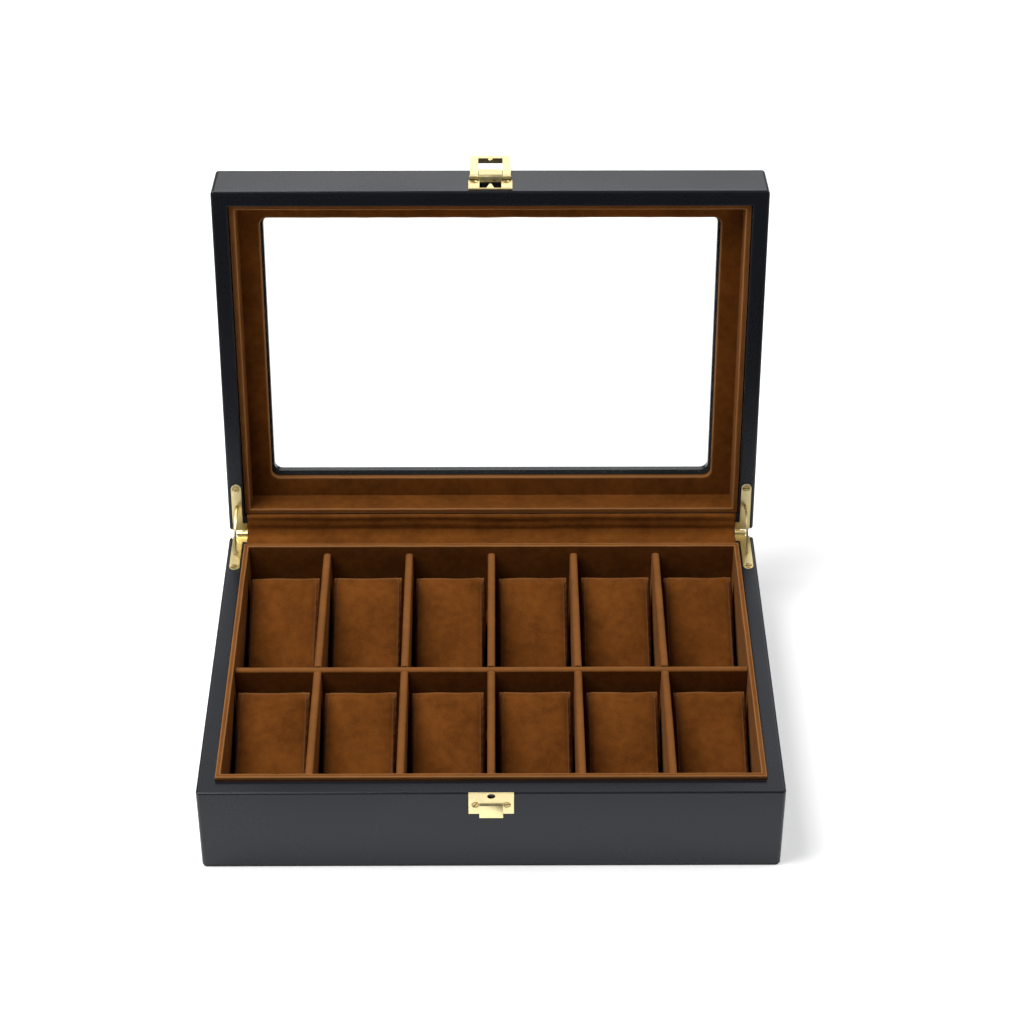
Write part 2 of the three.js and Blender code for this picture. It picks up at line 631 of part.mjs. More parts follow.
function buildLid() {
  const top = lidRim + LID_HEIGHT;
  const under = top - TOP_FRAME;
  const rails = fourWalls(LID_WALL, lidRim, under - LID_FIT, LID_FIT / 2);
  const rebate = block(FOOT_INSET - halfW, halfW - FOOT_INSET, halfD - LID_WALL - 1, halfD + 1,
    lidRim - 5, lidRim + STRIP_THICKNESS + LID_FIT);
  const leftCuts = hingeCuts(-1, true);
  const rightCuts = hingeCuts(1, true);
  const pocket = facingFront(screwHole({ ...LATCH_SCREW, headDeep: 0.2, headR: 0.9 }, FIT));
  const hollow = block(-6.4, 6.4, -halfD - 1, HOLLOW_DEEP - halfD,
    lidRim + NOTCH_FOOT + 0.2, haspZ - 4.5);
  const frontHoles = [...haspScrewSpots().map((p) => at(pocket, ...p)), hollow];
  node(lidParts, "lid_rail_front", cut(rails.front, ...frontHoles), "lacquer");
  node(lidParts, "lid_rail_back", cut(rails.back, rebate, ...leftCuts, ...rightCuts), "lacquer");
  node(lidParts, "lid_rail_left", cut(rails.left, rebate, ...leftCuts), "lacquer");
  node(lidParts, "lid_rail_right", cut(rails.right, rebate, ...rightCuts), "lacquer");
  const outline = roundedRect(-halfW, halfW, -halfD, halfD, CORNER_RADIUS, 6);
  const windowX = halfW - WINDOW_BORDER;
  const windowY = halfD - WINDOW_BORDER;
  const hole = roundedRect(-windowX, windowX, -windowY, windowY, WINDOW_RADIUS, 5);
  node(lidParts, "lid_top_frame", extrudeZ(outline, under, top, [hole]), "lacquer");

  const glassX = windowX + GLASS_LAP;
  const glassY = windowY + GLASS_LAP;
  const glassTop = under - LID_FIT;
  const glassBottom = glassTop - GLASS;
  const pane = block(-glassX, glassX, -glassY, glassY, glassBottom, glassTop);
  node(lidParts, "lid_glass", pane, "glass");
  const gx = glassX + LID_FIT;
  const gy = glassY + LID_FIT;
  const seal = extrudeZ(roundedRect(-gx - GASKET, gx + GASKET, -gy - GASKET, gy + GASKET, 3, 3),
    glassBottom, glassTop, [roundedRect(-gx, gx, -gy, gy, 0.3, 1)]);
  node(lidParts, "lid_gasket", seal, "gasket");

  const inX = halfW - LID_WALL - LID_FIT;
  const inY = halfD - LID_WALL - LID_FIT;
  const frameTop = glassBottom - LID_FIT;
  const frameBottom = frameTop - LINING_FRAME;
  const fx = windowX + LINING_FRAME_STEP;
  const fy = windowY + LINING_FRAME_STEP;
  const board = extrudeZ(roundedRect(-inX, inX, -inY, inY, 0.5, 1), frameBottom, frameTop,
    [roundedRect(-fx, fx, -fy, fy, WINDOW_RADIUS, 5)]);
  node(lidParts, "lid_lining_frame", board, "suede");
  const rx = inX - LID_LINING;
  const ry = inY - LID_LINING;
  const ring = extrudeZ(roundedRect(-inX, inX, -inY, inY, 0.5, 1),
    lidRim + LID_LINING_RECESS, frameBottom - LID_FIT, [roundedRect(-rx, rx, -ry, ry, 0.5, 1)]);
  node(lidParts, "lid_lining_walls", ring, "suede");
}

function buildStrip() {
  const x = halfW - FOOT_INSET - FIT;
  const base = block(-x, x, halfD - BASE_WALL, halfD, BASE_HEIGHT - STRIP_THICKNESS, BASE_HEIGHT);
  node(model, "hinge_strip_base", base, "suede");
  const over = block(-x, x, halfD - LID_WALL, halfD, lidRim, lidRim + STRIP_THICKNESS);
  node(lidParts, "hinge_strip_lid", over, "suede");
}

function buildHinges() {
  for (const [word, side] of [["left", -1], ["right", 1]]) {
    node(model, `hinge_${word}_base_leaf`, hingeLeaf(side, false), "gold");
    node(lidParts, `hinge_${word}_lid_leaf`, hingeLeaf(side, true), "gold");
    node(model, `hinge_${word}_pin`, hingePin(side), "gold");
    node(model, `hinge_${word}_stay`, hingeStay(side), "gold");
    node(model, `hinge_${word}_base_screw`, hingeScrew(side, false), "gold");
    node(lidParts, `hinge_${word}_lid_screw`, hingeScrew(side, true), "gold");
  }
}

function buildLatch() {
  node(lidParts, "hasp_plate", haspPlate(), "gold");
  node(lidParts, "hasp_pin", haspPin(), "gold");
  const swing = new THREE.Group();
  swing.position.set(0, haspY, haspZ);
  swing.rotation.x = -THREE.MathUtils.degToRad(HASP_SWING);
  lidParts.add(swing);
  node(swing, "hasp_frame", haspFrame(), "gold");
  node(model, "catch_plate", catchPlate(), "gold");
  const screw = facingFront(screwShape(LATCH_SCREW));
  ["left", "right"].forEach((word, i) => {
    const [hx, hy, hz] = haspScrewSpots()[i];
    const [cx, cy, cz] = catchScrewSpots()[i];
    node(lidParts, `hasp_screw_${word}`, at(screw, hx, hy + HEAD_SINK, hz), "gold");
    node(model, `catch_screw_${word}`, at(screw, cx, cy + HEAD_SINK, cz), "gold");
  });
}

buildBase();
buildLining();
buildDividers();
buildCushions();
buildLid();
buildStrip();
buildHinges();
buildLatch();

export default model;
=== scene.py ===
# %% [markdown]
# # A watch box with a glazed lid
#
# The box is lacquered board lined with brown suede-like cloth. Its lid stands open on two stay hinges, and
# twelve loose cushions lie in two rows. The hard shapes already exist as a fixed frame of solids, so every
# visible piece made here takes its place from that frame, and all but the cloth over the hinge gap ride on
# one of its bodies.

# %% Load the frame
import json
import math

import bmesh
import bpy
import numpy as np
from mathutils import Matrix, Vector, noise


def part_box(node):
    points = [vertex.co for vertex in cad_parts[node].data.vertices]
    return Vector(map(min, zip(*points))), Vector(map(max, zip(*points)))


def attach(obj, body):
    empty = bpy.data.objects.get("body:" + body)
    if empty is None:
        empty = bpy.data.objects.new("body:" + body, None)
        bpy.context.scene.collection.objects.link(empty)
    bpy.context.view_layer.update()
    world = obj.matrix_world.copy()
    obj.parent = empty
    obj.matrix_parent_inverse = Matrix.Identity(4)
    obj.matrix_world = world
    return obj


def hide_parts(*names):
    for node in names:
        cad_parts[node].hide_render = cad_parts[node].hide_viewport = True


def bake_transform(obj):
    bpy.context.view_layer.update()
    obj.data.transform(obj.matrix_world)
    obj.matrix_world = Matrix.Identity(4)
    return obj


noise.seed_set(4)  # without a seed, noise_vector differs from one run to the next
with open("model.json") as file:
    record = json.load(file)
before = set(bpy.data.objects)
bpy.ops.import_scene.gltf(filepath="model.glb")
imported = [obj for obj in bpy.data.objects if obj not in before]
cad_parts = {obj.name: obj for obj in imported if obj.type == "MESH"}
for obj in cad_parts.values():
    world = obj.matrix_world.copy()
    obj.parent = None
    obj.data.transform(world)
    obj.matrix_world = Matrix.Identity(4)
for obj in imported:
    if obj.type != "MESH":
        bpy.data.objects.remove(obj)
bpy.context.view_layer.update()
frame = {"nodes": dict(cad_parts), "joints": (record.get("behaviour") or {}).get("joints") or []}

# %% [markdown]
# ## Sizes
#
# Most sizes are read from the solids. The lid's solids stand open, which makes them awkward to draw, so its
# pieces are drawn lying shut and then turned about the hinge pin by the same angle as the real lid.

# %% Read the sizes
MM = 0.001
wall_low, wall_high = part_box("base_wall_front")
HALF_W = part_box("base_wall_right")[1].x
HALF_D = -wall_low.y
RIM = wall_high.z
FELT = wall_low.z
WALL = 10.2 * MM
LID_WALL = 9.8 * MM
LID_RIM = RIM + 0.6 * MM
LID_TOP = LID_RIM + 33.5 * MM
CORNER = 2.2 * MM

hinge = next(joint for joint in frame["joints"] if joint["name"] == "lid_hinge")
PIN = Vector(hinge["pos_m"])
OPEN = math.radians(-min(hinge["range_deg"]))
LID_TURN = (
    Matrix.Translation(PIN) @ Matrix.Rotation(-OPEN, 4, "X") @ Matrix.Translation(-PIN)
)
print("the lid stands open at", round(math.degrees(OPEN)), "degrees")

# %% [markdown]
# ## Nodes written as sums
#
# Materials and Geometry Nodes are both trees of nodes. Two small classes keep them readable: a Signal is one
# socket that understands plus, minus and times, and a Tree adds a node from its type, settings and inputs.

# %% Two small classes for node trees
class Signal:
    """A node's socket. An expression on it adds the Math nodes that it needs."""

    def __init__(self, tree, socket):
        self.tree, self.socket = tree, socket

    def math(self, operation, first, second):
        return self.tree.node("ShaderNodeMath", {"operation": operation}, {0: first, 1: second})

    def __add__(self, other):
        return self.math("ADD", self, other)

    def __sub__(self, other):
        return self.math("SUBTRACT", self, other)

    def __mul__(self, other):
        return self.math("MULTIPLY", self, other)

    def __rsub__(self, other):
        return self.math("SUBTRACT", other, self)

    __radd__ = __add__
    __rmul__ = __mul__


class Tree:
    """A node tree that grows one node at a time."""

    def __init__(self, node_tree):
        self.tree = node_tree

    def feed(self, socket, value):
        if isinstance(value, Signal):
            self.tree.links.new(value.socket, socket)
        else:
            socket.default_value = value

    def add(self, kind, settings=None, inputs=None):
        made = self.tree.nodes.new(kind)
        for key, value in (settings or {}).items():
            if key == "stops":
                ramp = made.color_ramp.elements
                while len(ramp) < len(value):
                    ramp.new(0.5)
                for stop, (place, colour) in zip(ramp, value):
                    stop.position, stop.color = place, colour
            else:
                setattr(made, key, value)
        for key, value in (inputs or {}).items():
            self.feed(made.inputs[key], value)
        return made

    def node(self, kind, settings=None, inputs=None, out=0):
        return Signal(self, self.add(kind, settings, inputs).outputs[out])


# %% [markdown]
# ## Finishes
#
# Each finish is one Principled shader. Its constant values are set on the shader itself, and only colour,
# roughness, alpha and the surface's small bumps vary from place to place. Patterns are measured in metres
# on the Object coordinates, so a grain of a third of a millimetre stays that size on every piece.

# %% A finish to build on
class Finish(Tree):
    """A material with one Principled shader, and helpers for patterns measured in metres."""

    def __init__(self, name, **constants):
        self.material = bpy.data.materials.new(name)
        self.material.use_nodes = True
        super().__init__(self.material.node_tree)
        self.shader = self.tree.nodes["Principled BSDF"]
        for key, value in constants.items():
            self.shader.inputs[key.replace("_", " ")].default_value = value
        self.place = self.node("ShaderNodeTexCoord", out=3)

    def cloud(self, size, detail=2.0, rough=0.5, stretch=None):
        """Soft noise from 0 to 1 whose blots are about size metres across."""
        place = self.place
        if stretch:
            place = self.node("ShaderNodeMapping", None, {0: place, 3: stretch})
        values = {"Vector": place, "Scale": 1 / size, "Detail": detail, "Roughness": rough}
        return self.node("ShaderNodeTexNoise", None, values)

    def blend(self, amount, first, second, how="MIX"):
        settings = {"data_type": "RGBA", "blend_type": how}
        return self.node("ShaderNodeMix", settings, {0: amount, 6: first, 7: second}, out=2)

    def between(self, value, low, high, new_low=0.0, new_high=1.0):
        spans = {0: value, 1: low, 2: high, 3: new_low, 4: new_high}
        return self.node("ShaderNodeMapRange", {"clamp": True}, spans)

    def mark(self, name):
        """A value painted on the piece's own points."""
        return self.node("ShaderNodeAttribute", {"attribute_name": name}, out=2)

    def bump(self, height, depth, strength=1.0, under=None):
        values = {"Height": height, "Distance": depth, "Strength": strength}
        if under:
            values["Normal"] = under
        return self.node("ShaderNodeBump", None, values)

    def set(self, **values):
        for key, value in values.items():
            self.feed(self.shader.inputs[key.replace("_", " ")], value)
        return self.material


# %% [markdown]
# ### Satin black lacquer
#
# Sprayed lacquer is nearly black, and most of what is seen is what it reflects. It has three kinds of
# variation: broad patches of slightly different gloss, a fine orange peel, and edges that are polished a
# little thinner. The edge mark is painted on the rounded edges when the shells are made.

# %% Lacquer
def make_lacquer():
    paint = Finish("satin_lacquer", IOR=1.5, Specular_IOR_Level=0.36,
                   Specular_Tint=(0.88, 0.93, 1.0, 1))
    patches = paint.cloud(70 * MM)
    dust = paint.cloud(0.9 * MM, detail=3.0)
    edge = paint.mark("edge")
    tone = paint.blend(patches, (0.0062, 0.0065, 0.0092, 1), (0.0082, 0.0085, 0.0118, 1))
    tone = paint.blend(paint.between(dust, 0.62, 0.8, 0, 0.2), tone, (0.014, 0.014, 0.018, 1))
    tone = paint.blend(edge * 0.45, tone, (0.026, 0.026, 0.031, 1))
    rough = paint.between(patches, 0.3, 0.7, 0.22, 0.29) + dust * 0.05 - edge * 0.08
    peel = paint.bump(paint.cloud(1.8 * MM), 0.012 * MM, 0.5)
    return paint.set(Base_Color=tone, Roughness=rough, Normal=peel)


lacquer = make_lacquer()

# %% [markdown]
# ### Suede-like cloth
#
# The lining is flocked cloth: short fibres that catch the light at a grazing angle, which is what Sheen
# does. Where it was brushed one way or the other it looks lighter or darker, so broad clouds shift its
# colour and a fine grain breaks it up. Where the cloth is pulled tight over an edge or a crown it is painted
# lighter: partly wear, and partly a painted highlight for the light that those edges catch.

# %% Suede
def make_suede(name, dark, middle, light, wear_and_highlight):
    cloth = Finish(name, Roughness=0.95, Sheen_Weight=0.14, Sheen_Roughness=0.45,
                   Sheen_Tint=(0.8, 0.42, 0.18, 1), Specular_IOR_Level=0.05)
    brushed = cloth.cloud(22 * MM, detail=3.0) * 0.6 + cloth.cloud(5 * MM, detail=2.0) * 0.4
    grain = cloth.cloud(0.42 * MM, detail=2.0, rough=0.7)
    fibre = cloth.cloud(0.3 * MM, detail=1.0, stretch=(1.0, 0.35, 0.6))
    tone = cloth.blend(cloth.between(brushed, 0.36, 0.66), dark, middle)
    tone = cloth.blend(cloth.between(grain, 0.5, 0.75, 0, 0.5), tone, light)
    # painted highlight: marked edges and crowns are blended to the lighter colour, partly wear and partly the
    # light they catch
    tone = cloth.blend(cloth.mark("edge") * 0.75, tone, wear_and_highlight)
    nap = cloth.bump(grain + fibre * 0.5, 0.12 * MM, 0.7)
    folds = cloth.bump(cloth.cloud(9 * MM), 0.25 * MM, 0.5, under=nap)
    return cloth.set(Base_Color=tone, Normal=folds)


# The fourth colour of each cloth is the lighter one painted on edges and crowns: wear and a painted highlight.
suede = make_suede(
    "suede_lining",
    (0.095, 0.0285, 0.0035, 1),
    (0.165, 0.0515, 0.0078, 1),
    (0.25, 0.09, 0.018, 1),
    (0.32, 0.145, 0.052, 1),
)
cushion_suede = make_suede(
    "cushion_suede",
    (0.1, 0.0295, 0.004, 1),
    (0.17, 0.0525, 0.008, 1),
    (0.26, 0.093, 0.02, 1),
    (0.36, 0.17, 0.07, 1),
)
thread = make_suede(
    "brown_thread",
    (0.09, 0.034, 0.01, 1),
    (0.13, 0.05, 0.016, 1),
    (0.2, 0.085, 0.03, 1),
    (0.2, 0.085, 0.03, 1),
)

# %% [markdown]
# ### Pale gold plate
#
# Thin plating over brass: fully metallic, with a fine brushed grain across the parts and faint cloudy
# patches where fingers have dulled it. The screws are the same plate in a darker tone.

# %% Gold, glass, rubber and felt
def make_gold(name, dull, bright):
    plate = Finish(name, Metallic=1.0)
    patches = plate.cloud(6 * MM, detail=3.0)
    brushed = plate.cloud(0.5 * MM, detail=2.0, stretch=(0.12, 1.0, 1.0))
    tone = plate.blend(patches, dull, bright)
    rough = plate.between(patches, 0.3, 0.7, 0.24, 0.36) + brushed * 0.08
    return plate.set(Base_Color=tone, Roughness=rough, Normal=plate.bump(brushed, 0.008 * MM, 0.5))


def make_glass():
    pane = Finish("clear_glass", IOR=1.5, Base_Color=(0.3, 0.34, 0.33, 1))
    smear = pane.cloud(45 * MM, detail=4.0)
    film = pane.between(smear, 0.45, 0.75, 0.05, 0.075)
    return pane.set(Roughness=pane.between(smear, 0.4, 0.8, 0.02, 0.07), Alpha=film)


def make_rubber():
    seal = Finish("gasket_rubber", IOR=1.45)
    specks = seal.cloud(0.6 * MM, detail=3.0)
    tone = seal.blend(specks, (0.012, 0.012, 0.012, 1), (0.03, 0.03, 0.031, 1))
    return seal.set(Base_Color=tone, Roughness=0.6 + specks * 0.2, Normal=seal.bump(specks, 0.03 * MM))


def make_felt():
    felt = Finish("underside_felt", Roughness=1.0, Sheen_Weight=0.3)
    hairs = felt.cloud(0.5 * MM, detail=4.0, rough=0.8)
    tone = felt.blend(hairs, (0.008, 0.007, 0.006, 1), (0.05, 0.043, 0.038, 1))
    return felt.set(Base_Color=tone, Normal=felt.bump(hairs, 0.3 * MM))


gold = make_gold("pale_gold_plate", (0.93, 0.76, 0.36, 1), (0.97, 0.85, 0.5, 1))
# The screws are painted a darker gold than the plates.
darker_gold = make_gold("worn_gold_screws", (0.5, 0.36, 0.13, 1), (0.72, 0.56, 0.26, 1))
glass, rubber, felt = make_glass(), make_rubber(), make_felt()
print("finishes:", [material.name for material in bpy.data.materials])

# %% [markdown]
# ## Seamless lacquered shells
#
# The real carcass is four boards, mitred, filled and sprayed, so no joint shows. It could be cubes with a
# Bevel, but a shell made of rings is cleaner: each ring is a rectangle with rounded corners, and one ring
# follows the next along the wall's cross-section. Every face is a quad and every edge is already rounded.

# %% Rings and shells
RING_STEPS = 6


def ring(half_x, half_y, radius, z, side_cuts=0):
    """Points round a rectangle with rounded corners, anticlockwise seen from above."""
    points = []
    for quarter, (sx, sy) in enumerate(((1, 1), (-1, 1), (-1, -1), (1, -1))):
        for step in range(RING_STEPS + 1):
            angle = math.radians(90 * (quarter + step / RING_STEPS))
            x = sx * (half_x - radius) + radius * math.cos(angle)
            points.append(Vector((x, sy * (half_y - radius) + radius * math.sin(angle), z)))
    if not side_cuts:
        return points
    full = []
    for i, point in enumerate(points):
        full.append(point)
        if i % (RING_STEPS + 1) == RING_STEPS:
            after = points[(i + 1) % len(points)]
            full += [point.lerp(after, k / (side_cuts + 1)) for k in range(1, side_cuts + 1)]
    return full


def bend(inset, z, radius, start, end, steps=4):
    """A rounded edge of the cross-section: (inset, z, 1) for each point, where 1 marks an edge."""
    turns = [math.radians(start + (end - start) * k / steps) for k in range(steps + 1)]
    return [(inset + radius * math.cos(a), z + radius * math.sin(a), 1.0) for a in turns]


def rolled(outer, inner, top, radius, up=1):
    """Cloth pulled over a board's edge: two small rolls with a flat between them."""
    first, last = (180, 90) if up > 0 else (180, 270)
    centre = top - up * radius
    start = bend(outer + radius, centre, radius, first, last, steps=3)
    end = bend(inner - radius, centre, radius, last, 0 if up > 0 else 360, steps=3)
    # The third values mark the rolls and, less, the flat between them; the cloth is painted lighter there, partly
    # wear and partly a painted highlight along the lining's top.
    flat = 0.3 * MM
    between = [(outer + radius + flat, top, 0.2), (inner - radius - flat, top, 0.25)]
    return start + between + end + [(inner, centre - up * flat, 0.1)]


def new_piece(name, points, faces, material, edges=None, turn=None):
    """A mesh object at the origin, with its place in its points and its faces looking outwards."""
    mesh = bpy.data.meshes.new(name)
    mesh.from_pydata([tuple(turn @ Vector(p) if turn else p) for p in points], [], faces)
    if edges is not None:
        mesh.attributes.new("edge", "FLOAT", "POINT").data.foreach_set("value", edges)
    made = bmesh.new()
    made.from_mesh(mesh)
    bmesh.ops.recalc_face_normals(made, faces=made.faces)
    made.to_mesh(mesh)
    made.free()
    mesh.materials.append(material)
    piece = bpy.data.objects.new(name, mesh)
    bpy.context.scene.collection.objects.link(piece)
    return piece


def grid_faces(rows, columns, wrap_rows=True, wrap_columns=True):
    """The quads of a grid of points, numbered row by row."""
    faces = []
    for i in range(rows if wrap_rows else rows - 1):
        for j in range(columns if wrap_columns else columns - 1):
            k, n = (i + 1) % rows, (j + 1) % columns
            faces.append((i * columns + j, i * columns + n, k * columns + n, k * columns + j))
    return faces


def shell(name, section, radius_at, material, turn=None, half=None, side_cuts=0, soften=None):
    """A closed frame: the section's points (inset, z, edge) carried round the box."""
    half_x, half_y = half or (HALF_W, HALF_D)
    points, edges = [], []
    for inset, z, edge in section:
        loop = ring(half_x - inset, half_y - inset, radius_at(inset), z, side_cuts)
        points += [soften(p, edge) for p in loop] if soften else loop
        edges += [edge] * len(loop)
    faces = grid_faces(len(section), len(points) // len(section))
    return new_piece(name, points, faces, material, edges, turn)


def bake(piece):
    """Applies a piece's modifiers, so that it is a plain mesh."""
    graph = bpy.context.evaluated_depsgraph_get()
    mesh = bpy.data.meshes.new_from_object(piece.evaluated_get(graph), depsgraph=graph)
    piece.modifiers.clear()
    piece.data = mesh
    return piece


def smooth(piece, degrees=32):
    """Smooth shading, except across edges sharper than the angle."""
    piece.data.shade_smooth()
    piece.data.set_sharp_from_angle(angle=math.radians(degrees))
    weighted = piece.modifiers.new("even shading", "WEIGHTED_NORMAL")
    weighted.keep_sharp, weighted.weight = True, 100
    return bake(piece)


def settle(piece, body, slot, *nodes):
    """Says which body a piece rides on and hides the solids that it stands for. The slot, its finish, is not used.
    """
    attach(piece, body)
    if nodes:
        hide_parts(*nodes)
    return piece


# %% [markdown]
# ## Pockets for the hinges
#
# A side-rail hinge lies in a shallow mortise in the rim, and its curved stay slides into a slot below it.
# Both are cut with Boolean modifiers, in the way a router would cut them after the box is glued up.

# %% Cutters for one hinge
LEAF_IN = 5.4 * MM
LEAF_HALF = 3.2 * MM
LEAF_REACH = 30 * MM
LEAF_DEEP = 1.5 * MM
FOOT_IN = 11.4 * MM
FOOT_LONG = 5 * MM
FIT = 0.45 * MM
STAY_R = 19 * MM
STAY_POCKET_HALF = 2.6 * MM
STAY_SLOT_HALF = 0.9 * MM
STAY_SWEEP = 64  # degrees
STRIP_DEEP = 0.9 * MM


def prism(name, outline, axis, low, high):
    """A closed prism. The outline is (x, y) for axis Z and (y, z) for axis X."""
    place = (lambda a, b, s: (a, b, s)) if axis == "Z" else (lambda a, b, s: (s, a, b))
    points = [place(a, b, s) for s in (low, high) for a, b in outline]
    count = len(outline)
    faces = [tuple(range(count)), tuple(range(count, 2 * count))]
    faces += [(i, (i + 1) % count, count + (i + 1) % count, count + i) for i in range(count)]
    return new_piece(name, points, faces, lacquer)


def leaf_outline(side):
    """The mortise seen from above: a round front end, and a foot at the back."""
    x = side * (HALF_W - LEAF_IN)
    half = LEAF_HALF + FIT
    front = HALF_D - LEAF_REACH
    angles = [math.radians(180 + 180 * k / 12) for k in range(13)]
    outline = [(x + side * -half * math.cos(a) * -1, front + half * math.sin(a)) for a in angles]
    if side < 0:
        outline = [(2 * x - px, py) for px, py in outline]
    step = HALF_D - FOOT_LONG - FIT
    outer, inner, foot = x + side * half, x - side * half, side * (HALF_W - FOOT_IN - FIT)
    outline = sorted(outline, key=lambda p: side * p[0])
    back = HALF_D + MM
    return outline + [(outer, back), (foot, back), (foot, step), (inner, step)]


def stay_outline(up):
    """The slot that the stay slides in, seen from the side."""
    spans = (-4, STAY_SWEEP) if up else (4, -STAY_SWEEP)
    angles = [math.radians(180 - (spans[0] + (spans[1] - spans[0]) * k / 14)) for k in range(15)]
    near, far = STAY_R - STAY_POCKET_HALF, STAY_R + STAY_POCKET_HALF
    inner = [(PIN.y + near * math.cos(a), PIN.z + near * math.sin(a)) for a in angles]
    outer = [(PIN.y + far * math.cos(a), PIN.z + far * math.sin(a)) for a in reversed(angles)]
    return inner + outer


def cut(piece, cutters):
    for cutter in cutters:
        tool = piece.modifiers.new("cut", "BOOLEAN")
        tool.operation, tool.solver, tool.object = "DIFFERENCE", "EXACT", cutter
    bake(piece)
    for cutter in cutters:
        bpy.data.objects.remove(cutter)
    return piece


def hollow_cutter():
    """The cutter for the recess in the lid's front rail, behind the cut-out in the hasp's plate."""
    half, y0, y1 = 6.4 * MM, -HALF_D - MM, -HALF_D + 3.5 * MM
    outline = [(-half, y0), (half, y0), (half, y1), (-half, y1)]
    return prism("hollow", outline, "Z", LID_RIM + 2.6 * MM, LID_RIM + 12 * MM)


def hinge_cutters(up):
    """The cutters for both hinges and the cloth strip, in the base (up=False) or in the shut lid."""
    tools = []
    for side in (-1, 1):
        low, high = (RIM - LEAF_DEEP, RIM + MM) if not up else (LID_RIM - MM, LID_RIM + LEAF_DEEP)
        tools.append(prism("mortise", leaf_outline(side), "Z", low, high))
        x = side * (HALF_W - LEAF_IN)
        tools.append(prism("slot", stay_outline(up), "X", x - STAY_SLOT_HALF, x + STAY_SLOT_HALF))
    x, y0, y1 = HALF_W - FOOT_IN, HALF_D - WALL - MM, HALF_D + MM
    low, high = (RIM - STRIP_DEEP, RIM + MM) if not up else (LID_RIM - MM, LID_RIM + STRIP_DEEP)
    strip = [(-x, y0), (x, y0), (x, y1), (-x, y1)]
    tools.append(prism("rebate", strip, "Z", low, high))
    return tools


# %% [markdown]
# ## The base and lid carcasses
#
# The base's cross-section is a plain wall with its outer edge rounded more than its inner one. The lid's
# goes up the outside, over the top frame, down the window's edge and back under the frame to the rail.

# %% Base carcass
def base_radius(inset):
    return max(CORNER - inset, 0.3 * MM)


base_section = (
    [(0.5 * MM, FELT, 0.0), (0.0, FELT + 0.5 * MM, 0.0), (0.0, RIM - 2 * MM, 0.0)]
    + bend(0.9 * MM, RIM - 0.9 * MM, 0.9 * MM, 180, 90)
    + [(2 * MM, RIM, 0.0), (WALL - 1.2 * MM, RIM, 0.0)]
    + bend(WALL - 0.4 * MM, RIM - 0.4 * MM, 0.4 * MM, 90, 0, steps=2)
    + [(WALL, FELT, 0.0)]
)
base_carcass = shell("base_carcass", base_section, base_radius, lacquer)
smooth(cut(base_carcass, hinge_cutters(up=False)))
base_walls = ["base_wall_" + side for side in ("front", "back", "left", "right")]
settle(base_carcass, "base", "black lacquer", *base_walls)
print("base carcass:", len(base_carcass.data.polygons), "faces")

# %% Lid carcass
WINDOW_IN = 28 * MM
WINDOW_CORNER = 5 * MM
FRAME_UNDER = LID_TOP - 5 * MM


def lid_radius(inset):
    if inset <= LID_WALL + 0.01 * MM:
        return max(CORNER - inset, 0.3 * MM)
    return WINDOW_CORNER + WINDOW_IN - inset


lid_section = (
    bend(0.9 * MM, LID_RIM + 0.9 * MM, 0.9 * MM, 270, 180)
    + [(0.0, LID_RIM + 2 * MM, 0.0), (0.0, LID_TOP - 2.4 * MM, 0.0)]
    + bend(1.1 * MM, LID_TOP - 1.1 * MM, 1.1 * MM, 180, 90)
    + [(2.4 * MM, LID_TOP, 0.0), (WINDOW_IN - 2 * MM, LID_TOP, 0.0)]
    + bend(WINDOW_IN - 0.8 * MM, LID_TOP - 0.8 * MM, 0.8 * MM, 90, 0)
    + bend(WINDOW_IN - 0.3 * MM, FRAME_UNDER + 0.3 * MM, 0.3 * MM, 0, -90, steps=2)
    + [(LID_WALL, FRAME_UNDER, 0.0)]
    + bend(LID_WALL - 0.4 * MM, LID_RIM + 0.4 * MM, 0.4 * MM, 0, -90, steps=2)
    + [(LID_WALL - 1.4 * MM, LID_RIM, 0.0), (2 * MM, LID_RIM, 0.0)]
)
lid_carcass = shell("lid_carcass", lid_section, lid_radius, lacquer)
cut(lid_carcass, hinge_cutters(up=True) + [hollow_cutter()])
lid_carcass.data.transform(LID_TURN)
smooth(lid_carcass)
lid_nodes = ["lid_rail_" + side for side in ("front", "back", "left", "right")] + ["lid_top_frame"]
settle(lid_carcass, "lid", "black lacquer", *lid_nodes)
print("lid carcass:", len(lid_carcass.data.polygons), "faces")

# %% [markdown]
# ## Cloth-covered linings
#
# The lining boards are wrapped in cloth, so their top edges are soft rolls and their faces are never quite
# flat. The shells are cut finer along their sides, and smooth noise moves each point by a tenth or two of
# a millimetre. The lining stands a little above the rim, where the shut lid slips over it.

# %% Base and lid linings
LINING = 3.2 * MM
LINING_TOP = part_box("base_lining_front")[1].z
FLOOR_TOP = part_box("base_floor")[1].z
AWAY = 0.06 * MM  # keeps cloth off the lacquer beside it


def soft_point(point, edge, depth=0.14 * MM):
    """Moves a point of a cloth face by smooth noise, more where the cloth is rolled."""
    wave = noise.noise_vector(point * 55) + noise.noise_vector(point * 190) * 0.4
    return point + wave * depth * (0.5 + edge)


base_lining_section = (
    [(WALL + AWAY, FLOOR_TOP, 0.0), (WALL + AWAY, RIM, 0.0)]
    + rolled(WALL + AWAY, WALL + LINING, LINING_TOP, 0.6 * MM)
    + [(WALL + LINING, z * MM, 0.0) for z in (52, 42, 30, 18)]
    + [(WALL + LINING, FLOOR_TOP, 0.0)]
)


def keep_outside(point, edge):
    """Softens the lining only on the side that looks into the box and on top of it."""
    inside = abs(point.x) < HALF_W - WALL - 0.5 * MM and abs(point.y) < HALF_D - WALL - 0.5 * MM
    return soft_point(point, edge) if inside and point.z > FLOOR_TOP else point


base_lining = shell(
    "base_lining", base_lining_section, lambda inset: 0.4 * MM, suede, side_cuts=40, soften=keep_outside
)
smooth(base_lining, 50)
settle(base_lining, "base", "suede lining", *[n.replace("wall", "lining") for n in base_walls])

